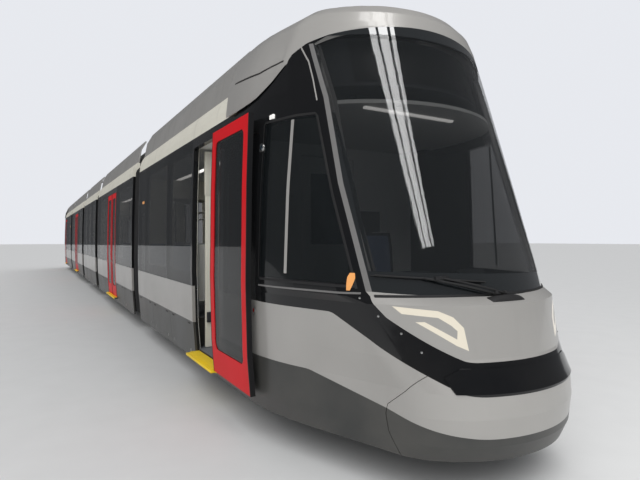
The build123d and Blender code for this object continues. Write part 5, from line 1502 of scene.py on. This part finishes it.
@dataclass
class Doorways:
    """Rubber edges, seals and buttons of the doors, the front doorway's lining and its step."""

    palette: Palette
    edge: float = 0.008
    rubber_span: Span = (0.362, 2.604)
    lining: tuple[Block, ...] = (
        ((11.494, -1.040, FLOOR + 0.004), (11.532, -0.66, 2.16)),
        ((11.480, -1.045, 2.10), (11.536, -0.90, 2.60)),
    )
    control_box: Block = ((11.531, -1.030, 0.665), (11.560, -0.915, 0.780))
    control_face: Block = ((11.559, -1.008, 0.690), (11.563, -0.937, 0.755))
    step: Block = ((11.56, -1.272, 0.3285), (12.43, -1.160, 0.3560))
    tread: Block = ((11.585, -1.258, 0.3555), (11.601, -1.135, 0.3585))
    tread_pitch: float = 0.038
    treads: int = 22
    button_place: Span = (1.754, 1.007)
    button_ring: Line = ((0.030, -0.004), (0.030, 0.005), (0.020, 0.008), (0.019, 0.0))
    button_cap: Line = ((0.019, -0.002), (0.018, 0.006), (0.010, 0.009), (0, 0.010))
    double_button: Line = ((0.026, -0.004), (0.026, 0.004), (0.016, 0.008), (0, 0.009))
    double_height: float = 1.12

    def build(self) -> None:
        """Make the pieces."""
        self._leaf_edges()
        self._lining()
        self._step()
        self._buttons()

    def _rubber(
        self, places: Sequence[float], sides: Sequence[int], out: float = 0.0015, half: float = 0.007,
        depth: float = 0.004,
    ) -> Workpiece:
        """Return rubber profiles up the leaves' edges, following the body side's curve.

        Args:
            places: their places along the tram.
            sides: -1 for the right, 1 for the left.
            out: how far they stand out from the body side.
            half: half their width.
            depth: their depth.

        Returns:
            The mesh.
        """
        work = Workpiece()
        low, high = self.rubber_span
        for side in sides:
            for x in places:

                def point(u: float, v: float) -> Vector:
                    """Return a point of the profile."""
                    z = low + v * (high - low)
                    y = side_width(z) + out + 0.003 * math.sin(math.pi * u)
                    return Vector((x + (u - 0.5) * 2 * half, side * y, z))

                work.sheet(point, 4, 24, depth)
        return work

    def _leaf_edges(self) -> None:
        """Lay the rubber profiles on the leaves' edges, and the seal in the open doorway."""
        rubber, black = self.palette.rubber, Slot.BLACK
        start, stop = CAB_DOORWAY
        closed = (start + self.edge, stop - self.edge)
        opened = [x + stop - start for x in closed]
        meeting = (DOUBLE_DOOR_MIDDLE - self.edge, DOUBLE_DOOR_MIDDLE + self.edge)
        double = (DOUBLE_DOORWAY[0] + self.edge, *meeting, DOUBLE_DOORWAY[1] - self.edge)
        self._rubber(closed, (1,)).make("front_left_door_rubber", rubber, black)
        self._rubber(opened, (-1,), PLUG_OUT - 0.001).make("front_right_door_rubber", rubber, black)
        self._rubber(closed, (-1, 1)).make("rear_door_rubber", rubber, black, "rear_cab_section", End.REAR)
        self._rubber(double, (-1, 1)).make_ends("double_door_rubber", rubber, black, "door_section")
        seal = self._rubber((start + 0.006, stop - 0.006), (-1,), -0.0655, 0.006, 0.030)
        seal.make("doorway_seal", rubber, black)

    def _lining(self) -> None:
        """Build the lining panels beside the open doorway, and the grey box on one."""
        lining = Workpiece()
        for low, high in self.lining:
            lining.box(low, high, 0.008, 3)
        lining.make("doorway_lining", self.palette.cream, Slot.INTERIOR)
        box = Workpiece().box(*self.control_box, 0.006, 3).box(*self.control_face, 0.0015)
        box.make("doorway_control_box", self.palette.plastic, Slot.INTERIOR)

    def _step(self) -> None:
        """Build the sliding step with its treads."""
        step = Workpiece().box(*self.step, 0.006, 3)
        for i in range(self.treads):
            (low, *near), (high, *far) = self.tread
            shift = self.tread_pitch * i
            step.box((low + shift, *near), (high + shift, *far), 0.001, 1)
        step.make("sliding_step", self.palette.yellow, Slot.DOOR)

    def _buttons(self) -> None:
        """Place round door buttons beside the doorways; the open doorway's side has the front's only one."""
        palette = self.palette
        foot = Skin("front_cab_cowl").on_side(*self.button_place, 0.0)
        for end in End:
            for name, profile, material, slot in (
                ("door_button_ring", self.button_ring, palette.steel, Slot.SILVER),
                ("door_button", self.button_cap, palette.red_lens, Slot.DOOR),
            ):
                button = Workpiece().lathe(profile, foot, (0, -1, 0))
                if end is End.REAR:
                    button.twin()
                button.make(f"{end.value}_{name}", material, slot, f"{end.value}_cab_section", end)
        double, y = Workpiece(), side_width(self.double_height)
        for x in (DOUBLE_DOOR_MIDDLE - 0.052, DOUBLE_DOOR_MIDDLE + 0.052):
            double.lathe(self.double_button, (x, y, self.double_height), (0, 1, 0), 20)
        double.twin().make_ends("double_door_buttons", palette.steel, Slot.DOOR, "door_section")


@dataclass
class Gangways:
    """Folded bellows between two sections, with a paler lining inside."""

    palette: Palette
    gap: float = 0.31
    folds: int = 11
    thick: float = 0.003
    corner: float = 0.16
    wall_heights: tuple[float, ...] = (0.318, 0.5, 0.678, 0.95, 1.258, 1.6, 2.028, 2.4, 2.65)
    outer: tuple[float, float, float] = (0.043, 2.918, 0.026)
    inner: tuple[float, float, float] = (0.088, 2.866, 0.014)

    def build(self) -> None:
        """Make the four bellows."""
        for end in End:
            for pivot, name, near, far in (
                (INNER_PIVOT, "inner_gangway", "centre_section", f"{end.value}_door_section"),
                (OUTER_PIVOT, "outer_gangway", f"{end.value}_door_section", f"{end.value}_cab_section"),
            ):
                outer, inner = self._shell(pivot, *self.outer), self._shell(pivot, *self.inner)
                skin = outer.plain(f"{end.value}_{name}_bellows", self.palette.bellows, end)
                lining = inner.plain(f"{end.value}_{name}_lining", self.palette.lining, end)
                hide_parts(f"{end.value}_{name}")
                for piece in (skin, lining):
                    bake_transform(piece)

    def _outline(self, inset: float, top: float) -> list[Vector]:
        """Return the bellows' section as an open line, from the right foot over the top to the left foot."""
        half = [Vector((0, inset - side_width(z), z)) for z in self.wall_heights]
        flat = side_width(BAND_TOP) - inset - self.corner
        middle = Vector((0, -flat, top - self.corner))
        for angle in (math.radians(15 * i) for i in range(1, 7)):
            half.append(middle + Vector((0, -math.cos(angle), math.sin(angle))) * self.corner)
        half += [Vector((0, -flat * (1 - i / 4), top)) for i in range(1, 4)]
        return half + [Vector((0, 0, top))] + [Vector((0, -place.y, place.z)) for place in reversed(half)]

    def _shell(self, pivot: float, inset: float, top: float, depth: float) -> Workpiece:
        """Return one folded skin between two sections.

        Args:
            pivot: place of the articulation.
            inset: how far the crests lie inside the body side.
            top: height of the crests' top.
            depth: depth of the folds.

        Returns:
            The mesh.
        """
        work = Workpiece()
        line = self._outline(inset, top)
        inward = []
        for before, after in zip([line[0], *line], [*line[1:], line[-1]]):
            way = (after - before).normalized()
            inward.append(Vector((0, way.z, -way.y)))
        length, rings = 2 * self.gap - 0.008, self.folds * 6
        verts = [bmesh.ops.create_vert(work.shape, co=place)["vert"][0] for place in line]
        edges = [work.shape.edges.new(pair) for pair in zip(verts, verts[1:])]
        for ring in range(rings + 1):
            if ring:
                made = bmesh.ops.extrude_edge_only(work.shape, edges=edges)["geom"]
                fresh = [g for g in made if isinstance(g, bmesh.types.BMVert)]
                link = {min(verts, key=lambda old: (old.co - new.co).length_squared): new for new in fresh}
                verts = [link[old] for old in verts]
                edges = [g for g in made if isinstance(g, bmesh.types.BMEdge)]
                edges = [e for e in edges if all(v in fresh for v in e.verts)]
            fold = depth * (0.5 - 0.5 * math.cos(math.tau * self.folds * ring / rings)) ** 0.75
            along = Vector((pivot - length / 2 + length * ring / rings, 0, 0))
            for vert, place, way in zip(verts, line, inward):
                vert.co = place + way * fold + along
        bmesh.ops.recalc_face_normals(work.shape, faces=work.shape.faces)
        bmesh.ops.solidify(work.shape, geom=list(work.shape.faces), thickness=self.thick)
        return work


@dataclass
class Saloon:
    """Seat covers, hand rails and ceiling lamps of the five sections."""

    palette: Palette
    seat_y: float = 0.77
    half_width: float = 0.32
    slot_half: float = 0.008
    margin: float = 0.012
    low_seat: float = 0.43
    podium_seat: float = 0.18
    pan_line: Line = ((-0.012, 0.0615), (0.06, 0.0535), (0.32, 0.0455), (0.392, 0.0495))
    back_line: Line = ((-0.0345, 0.085), (-0.0625, 0.30), (-0.0805, 0.52), (-0.104, 0.632))
    podium_seats: tuple[tuple[float, int], ...] = ((-1.33, 1), (-0.16, -1), (0.16, 1), (1.33, -1))
    car_seats: tuple[tuple[float, int], ...] = ((2.62, 1), (4.16, -1), (5.94, 1), (7.48, -1))
    rail_height: float = 2.03
    rail_foot: Line = ((0.0155, -0.014), (0.034, -0.010), (0.036, 0.0))
    rails: tuple[tuple[str, tuple[tuple[float, float, float], ...]], ...] = (
        ("cab_section", ((8.60, 11.40, 0.385), (11.62, 12.30, 0.400))),
        ("door_section", ((2.66, 4.28, 0.420), (5.82, 7.44, 0.420))),
        ("centre_section", ((-1.50, 1.50, 0.385),)),
    )
    lamp_spans: tuple[tuple[str, float, float], ...] = (
        ("cab_section", 8.44, 12.36),
        ("door_section", 2.54, 7.56),
        ("centre_section", -1.66, 1.66),
    )
    lamp_pitch: float = 1.05
    lamp_gap: float = 0.04
    lamp_sides: Span = (0.52, 0.60)
    rim_sides: Line = ((0.500, 0.519), (0.601, 0.620))
    rim_over: float = 0.012

    def build(self) -> None:
        """Make the pieces."""
        self._seat_covers()
        for section, spans in self.rails:
            work = Workpiece()
            for start, stop, y in spans:
                self._rail(work, start, stop, y)
            work.twin().make_section(section, "hand_rails", self.palette.steel, Slot.INTERIOR)
        for section, start, stop in self.lamp_spans:
            self._lamps(section, start, stop)

    def _seat_covers(self) -> None:
        """Make the covers of each section."""
        podium, floor = PODIUM + self.podium_seat, FLOOR + self.low_seat
        cab = self._covers([(BOGIE_X + x, podium, facing) for x, facing in self.podium_seats])
        self._place(cab, TIP_X - 1.7, 0.0, CAB_FLOOR + self.low_seat, 1, 0.21)
        car = self._covers([(x, floor, facing) for x, facing in self.car_seats])
        centre = self._covers([(x, podium, facing) for x, facing in self.podium_seats])
        covers = [(centre, "centre_seat_covers", "centre_section", End.FRONT)]
        for end in End:
            covers.append((cab, f"{end.value}_cab_seat_covers", f"{end.value}_cab_section", end))
            covers.append((car, f"{end.value}_car_seat_covers", f"{end.value}_door_section", end))
        for work, name, body, end in covers:
            work.make(name, self.palette.fabric, Slot.INTERIOR, body, end)

    def _covers(self, seats: Sequence[tuple[float, float, int]]) -> Workpiece:
        """Return the covers of a section's double seats.

        Args:
            seats: place of the back foot, height of the pan and facing of each pair of seats.

        Returns:
            The mesh.
        """
        work = Workpiece()
        shift = (self.half_width + self.slot_half) / 2
        half = (self.half_width - self.slot_half) / 2 - self.margin
        for x, pan, facing in seats:
            for row in (-self.seat_y, self.seat_y):
                for middle in (row - shift, row + shift):
                    self._place(work, x, middle, pan, facing, half)
        return work

    def _place(self, work: Workpiece, x: float, y: float, pan: float, facing: int, half: float) -> None:
        """Add the crowned covers of one place, along the lines of the shell's pan and back.

        Args:
            work: the mesh that they are added to.
            x: place of the back foot along the tram.
            y: the middle of the place.
            pan: height of the pan.
            facing: 1 forwards, -1 backwards.
            half: half the covers' width.
        """
        for line, thick in ((self.pan_line, 0.020), (self.back_line, 0.018)):

            def point(u: float, v: float) -> Vector:
                """Return a point of the cover."""
                place, way = walk(line, v)
                up = Vector((-way.y, way.x))
                if up.y < 0 or (abs(way.y) > abs(way.x) and up.x < 0):
                    up = -up
                rim = min(1.0, 9 * min(u, 1 - u)) ** 0.5 * min(1.0, 9 * min(v, 1 - v)) ** 0.5
                crown = 0.62 + 0.38 * math.sin(math.pi * u) * math.sin(math.pi * v)
                channel = 1.0 - 0.35 * math.exp(-(((v - 0.5) / 0.03) ** 2))
                place = place + up * (0.002 + thick * rim * crown * channel)
                pinch = 1.0 - 0.03 * (2 * v - 1) ** 4
                return Vector((x + facing * place.x, y + (u - 0.5) * 2 * half * pinch, pan + place.y))

            work.sheet(point, 10, 12, 0.002)

    def _rail(self, work: Workpiece, start: float, stop: float, y: float) -> None:
        """Add one rail that bends up to a flange under the ceiling at both ends.

        Args:
            work: the mesh that it is added to.
            start: where it starts along the tram.
            stop: where it ends.
            y: its place across the tram.
        """
        z, top, radius = self.rail_height, CEILING - 0.002, 0.07
        rise = [(start, y, level) for level in (top, top - 0.1, z + radius, z)]
        fall = [(stop, y, level) for level in (z, z + radius, top - 0.1, top)]
        work.tube([*rise, (start + radius, y, z), (stop - radius, y, z), *fall], 0.0155)
        for x in (start, stop):
            work.lathe(self.rail_foot, (x, y, top + 0.001), (0, 0, 1), 20)

    def _lamps(self, section: str, start: float, stop: float) -> None:
        """Fit a section's lamp strips and their rims under the ceiling.

        Args:
            section: the body, without its end.
            start: where the strips start along the tram.
            stop: where they end.
        """
        lamp, rim, over = Workpiece(), Workpiece(), self.rim_over
        count = round((stop - start) / self.lamp_pitch)
        step = (stop - start) / count
        right, left = self.lamp_sides
        for i in range(count):
            low, high = start + i * step + self.lamp_gap / 2, start + (i + 1) * step - self.lamp_gap / 2
            lamp.box((low, right, CEILING - 0.016), (high, left, CEILING - 0.001))
            for near, far in self.rim_sides:
                rim.box((low - over, near, CEILING - 0.010), (high + over, far, CEILING - 0.0005), 0.003)
        palette, centre = self.palette, "centre_section"
        lamp.twin().make_section(section, "ceiling_lamps", palette.tube_lamp, Slot.LAMP, centre)
        rim.twin().make_section(section, "ceiling_rims", palette.pale, Slot.INTERIOR, centre)


@dataclass
class RoofDetails:
    """Fan blades and guards, pipes along the deck, lifting eyes and aerials."""

    palette: Palette
    fans: tuple[tuple[str, float, float], ...] = (("cab_section", 10.80, 0.55), ("door_section", 6.50, 0.45))
    blades: int = 7
    guard_height: float = 0.0285
    guard_radii: tuple[float, ...] = (0.085, 0.12, 0.155, 0.19, 0.225)
    pipe_spans: tuple[tuple[str, float, float], ...] = (
        ("cab_section", 8.36, 12.55),
        ("door_section", 2.47, 7.63),
        ("centre_section", -1.73, 1.73),
    )
    pipes: Line = ((0.905, 0.016), (0.950, 0.012))
    pipe_foot: float = DECK_TOP + 0.010
    clip_start: float = 0.25
    clip_pitch: float = 0.6
    clip_width: float = 0.03
    aerial_foot: float = DECK_TOP + 0.24
    aerial: Line = (
        (0.0, 0.075), (0.018, 0.072), (0.032, 0.055), (0.042, 0.018), (0.055, 0.006), (0.055, -0.002),
    )
    aerial_places: Line = ((8.90, -0.28), (8.90, 0.28))
    eye_foot: Line = ((0.026, 0.0), (0.026, 0.006), (0.014, 0.010), (0.012, 0.014), (0, 0.014))
    eye_places: Line = ((9.80, -0.62), (9.80, 0.62), (11.80, -0.62), (11.80, 0.62))

    def build(self) -> None:
        """Make the pieces."""
        for section, middle, shift in self.fans:
            self._fans(section, (middle - shift, middle + shift))
        for section, start, stop in self.pipe_spans:
            self._pipes(section, start, stop)
        self._aerials()
        self._lifting_eyes()

    def _fans(self, section: str, places: Span) -> None:
        """Make blades and wire guards in the fans of an air conditioner.

        Args:
            section: the body, without its end.
            places: places of its two fans along the tram.
        """

        def point(u: float, v: float) -> Vector:
            """Return a point of a blade."""
            return Vector((0.055 + 0.17 * u, (v - 0.5) * (0.06 + 0.08 * u), 0.006 + 0.012 * v))

        blade, blades, guard = Workpiece().sheet(point, 4, 3, 0.002), Workpiece(), Workpiece()
        for x in places:
            middle = Vector((x, 0, CASE_TOP))
            for i in range(self.blades):
                turn = Matrix.Rotation(math.tau * i / self.blades, 4, "Z")
                merge(blades.shape, blade.shape, Matrix.Translation(middle) @ turn)
            for radius in self.guard_radii:
                across, along = Vector((radius, 0, 0)), Vector((0, radius, 0))
                ring = circle(middle + Vector((0, 0, self.guard_height)), across, along, 28)
                guard.tube(ring, 0.0022, False, 1)
        blades.make_ends(f"{section}_fan_blades", self.palette.dark_steel, Slot.ROOF, section)
        guard.make_ends(f"{section}_fan_guards", self.palette.steel, Slot.ROOF, section)

    def _pipes(self, section: str, start: float, stop: float) -> None:
        """Lay a section's cable pipes with their clips beside the roof cases.

        Args:
            section: the body, without its end.
            start: where the pipes start along the tram.
            stop: where they end.
        """
        pipes, clips = Workpiece(), Workpiece()
        for y, radius in self.pipes:
            z, half = self.pipe_foot + radius, radius + 0.005
            pipes.tube([(start + (stop - start) * i / 8, y, z) for i in range(9)], radius)
            for i in range(round((stop - start) / self.clip_pitch)):
                x = start + self.clip_start + self.clip_pitch * i
                clips.box((x, y - half, DECK_TOP), (x + self.clip_width, y + half, z + radius + 0.003))
        pipes.twin().make_section(section, "roof_pipes", self.palette.dark_steel, Slot.ROOF)
        clips.twin().make_section(section, "pipe_clips", self.palette.steel, Slot.ROOF)

    def _aerials(self) -> None:
        """Set two low aerials on the front case."""
        aerials = Workpiece()
        for x, y in self.aerial_places:
            aerials.lathe(self.aerial, (x, y, self.aerial_foot), (0, 0, 1))
        aerials.make_ends("roof_aerials", self.palette.plastic, Slot.ROOF)

    def _lifting_eyes(self) -> None:
        """Set the lifting eyes on the air conditioner's corners."""
        eyes = Workpiece()
        for x, y in self.eye_places:
            foot = Vector((x, y, CASE_TOP))
            eyes.lathe(self.eye_foot, foot, (0, 0, 1), 16)
            ring = circle(foot + Vector((0, 0, 0.030)), Vector((0.02, 0, 0)), Vector((0, 0, 0.02)), 16)
            eyes.tube(ring, 0.005, False, 2)
        eyes.make_ends("lifting_eyes", self.palette.steel, Slot.ROOF)


@dataclass
class SkirtDetails:
    """Latches and hinges of the skirt panels, and the marker lamps along the side."""

    palette: Palette
    panel: float = 1.1
    shares: Span = (0.16, 0.84)
    latch: Line = ((0.017, -0.003), (0.017, 0.003), (0.012, 0.004), (0.0, 0.0025))
    latch_height: float = 0.335
    hinge_height: float = 0.648
    hinge_half: Point = (0.05, 0.004, 0.008)
    skirts: tuple[tuple[str, tuple[Span, ...]], ...] = (
        ("cab_section", ((CAB_SPAN[0], CAB_DOORWAY[0]),)),
        ("door_section", ((DOOR_CAR_SPAN[0], DOUBLE_DOORWAY[0]), (DOUBLE_DOORWAY[1], DOOR_CAR_SPAN[1]))),
        ("centre_section", (CENTRE_SPAN,)),
    )
    repeaters: Span = (8.66, 8.74)
    repeater_height: float = 2.193
    repeater_low: Point = (0.0, -0.003, -0.023)
    repeater_high: Point = (0.045, 0.006, 0.019)

    def build(self) -> None:
        """Make the pieces."""
        half = Vector(self.hinge_half)
        for section, spans in self.skirts:
            latches, hinges = Workpiece(), Workpiece()
            for x in [x for span in spans for x in self._places(span)]:
                self._latch(latches, Vector((x, side_width(self.latch_height), self.latch_height)))
                hinge = Vector((x, side_width(self.hinge_height), self.hinge_height))
                hinges.box(hinge - half, hinge + half + Vector((0, 0.001, 0)), 0.004, 3)
            latches.twin().make_section(section, "skirt_latches", self.palette.steel, Slot.SKIRT)
            hinges.twin().make_section(section, "skirt_hinges", self.palette.dark_steel, Slot.SKIRT)
        lamps, low, high = Workpiece(), Vector(self.repeater_low), Vector(self.repeater_high)
        for x in self.repeaters:
            place = Vector((x, side_width(self.repeater_height), self.repeater_height))
            lamps.box(place + low, place + high, 0.005, 3)
        lamps.twin().make_ends("side_repeaters", self.palette.amber_lamp, Slot.LAMP)

    def _places(self, span: Span) -> list[float]:
        """Return the places of the latches along a row of panels."""
        low, high = span
        count = max(1, round((high - low) / self.panel))
        return [low + (high - low) / count * (i + share) for i in range(count) for share in self.shares]

    def _latch(self, work: Workpiece, place: Vector) -> None:
        """Add one latch, a round cap with a square key in it."""
        work.lathe(self.latch, place, (0, 1, 0), 20)
        work.box(place + Vector((-0.005, 0.002, -0.005)), place + Vector((0.005, 0.006, 0.005)), 0.001, 1)


@dataclass
class Stage:
    """Pale floor, soft lamps and the camera."""

    floor_colour: Colour = (0.66, 0.66, 0.65)
    floor_half: float = 160.0
    world_colour: Colour = (0.93, 0.95, 1.0)
    world_strength: float = 0.55
    mirrored_strength: float = 0.13
    seen_strength: float = 0.86
    sun_angle: float = math.radians(55)
    suns: tuple[tuple[str, Point, float], ...] = (
        ("key_sun", (0.62, -0.62, 0.85), 1.55),
        ("fill_sun", (-0.55, 0.75, 0.95), 0.75),
    )
    skylights: tuple[tuple[str, float, float, float], ...] = (
        # name, place across the tram, width, power
        ("skylight_left", -1.10, 0.55, 110.0),
        ("skylight_middle", -0.25, 0.75, 160.0),
        ("skylight_right", 0.55, 0.35, 70.0),
    )
    skylight_length: float = 10.5
    skylight_place: Span = (20.8, 8.5)

    def build(self) -> None:
        """Build the floor, the lamps and the camera."""
        self._floor()
        self._world()
        self._lamps()
        self._camera()

    def _floor(self) -> None:
        """Lay the pale floor."""
        mesh = bpy.data.meshes.new("floor")
        shape = bmesh.new()
        bmesh.ops.create_grid(shape, x_segments=1, y_segments=1, size=self.floor_half)
        shape.to_mesh(mesh)
        shape.free()
        floor = bpy.data.objects.new("floor", mesh)
        bpy.context.scene.collection.objects.link(floor)
        graph = Graph("studio_floor")
        spots = graph.ramp(graph.noise(3.0), 0.3, 0.7)
        shade = graph.blend(spots, self.floor_colour, tuple(c * 0.97 for c in self.floor_colour))
        mesh.materials.append(graph.paint(Base_Color=shade, Roughness=0.6))

    def _world(self) -> None:
        """Light the world evenly, and show it pale behind the tram."""
        world = bpy.data.worlds.new("studio")
        world.use_nodes = True
        nodes, links = world.node_tree.nodes, world.node_tree.links
        background = nodes["Background"]
        background.inputs["Color"].default_value = (*self.world_colour, 1.0)
        path = nodes.new("ShaderNodeLightPath")
        strength: bpy.types.NodeSocket | float = self.world_strength
        for ray, value in (("Is Glossy Ray", self.mirrored_strength), ("Is Camera Ray", self.seen_strength)):
            choose = nodes.new("ShaderNodeMix")
            if isinstance(strength, float):
                choose.inputs[2].default_value = strength
            else:
                links.new(strength, choose.inputs[2])
            choose.inputs[3].default_value = value
            links.new(path.outputs[ray], choose.inputs[0])
            strength = choose.outputs[0]
        links.new(strength, background.inputs["Strength"])
        bpy.context.scene.world = world

    def _lamps(self) -> None:
        """Set two soft suns, and three long skylights that show in the windscreen."""
        for name, way, strength in self.suns:
            sun = bpy.data.lights.new(name, "SUN")
            sun.energy = strength
            sun.angle = self.sun_angle
            lamp = self._aim(bpy.data.objects.new(name, sun), Vector(way) * 20, Vector((0, 0, 0)), "Y")
            lamp.visible_glossy = False
        x, z = self.skylight_place
        for name, y, width, power in self.skylights:
            light = bpy.data.lights.new(name, "AREA")
            light.shape = "RECTANGLE"
            light.size = self.skylight_length
            light.size_y = width
            light.energy = power
            self._aim(bpy.data.objects.new(name, light), Vector((x, y, z)), Vector((x, y, 0.0)), "X")

    @staticmethod
    def _aim(lamp: bpy.types.Object, place: Vector, target: Vector, up: str) -> bpy.types.Object:
        """Place a lamp so that it points at a target.

        Args:
            lamp: the lamp's object.
            place: where it stands.
            target: what it points at.
            up: the axis of the lamp that is kept upright.

        Returns:
            The lamp.
        """
        lamp.location = place
        lamp.rotation_euler = (target - place).to_track_quat("-Z", up).to_euler()
        bpy.context.scene.collection.objects.link(lamp)
        return lamp

    def _camera(self) -> None:
        """Place the camera where the photograph was taken."""
        data = bpy.data.cameras.new("photo_camera")
        data.sensor_fit = "HORIZONTAL"
        data.lens = data.sensor_width * FOCAL_PIXELS / IMAGE_WIDTH
        camera = bpy.data.objects.new("photo_camera", data)
        camera.location = CAMERA_PLACE
        camera.rotation_euler = Vector(CAMERA_VIEW).to_track_quat("-Z", "Y").to_euler()
        bpy.context.scene.collection.objects.link(camera)
        bpy.context.scene.camera = camera
        bpy.context.scene.view_settings.view_transform = "Standard"


def main() -> None:
    """Build the stage, dress the frame's pieces and add the fine ones."""
    logging.basicConfig(level=logging.INFO, format="%(name)s: %(message)s")
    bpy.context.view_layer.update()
    Stage().build()
    palette = Palette()
    BuiltPieces(palette).build()
    NoseDetails(palette, RoofHood(palette).build()).build()
    for part in (CabInside, Doorways, Gangways, Saloon, RoofDetails, SkirtDetails):
        part(palette).build()


if __name__ == "__main__":
    main()
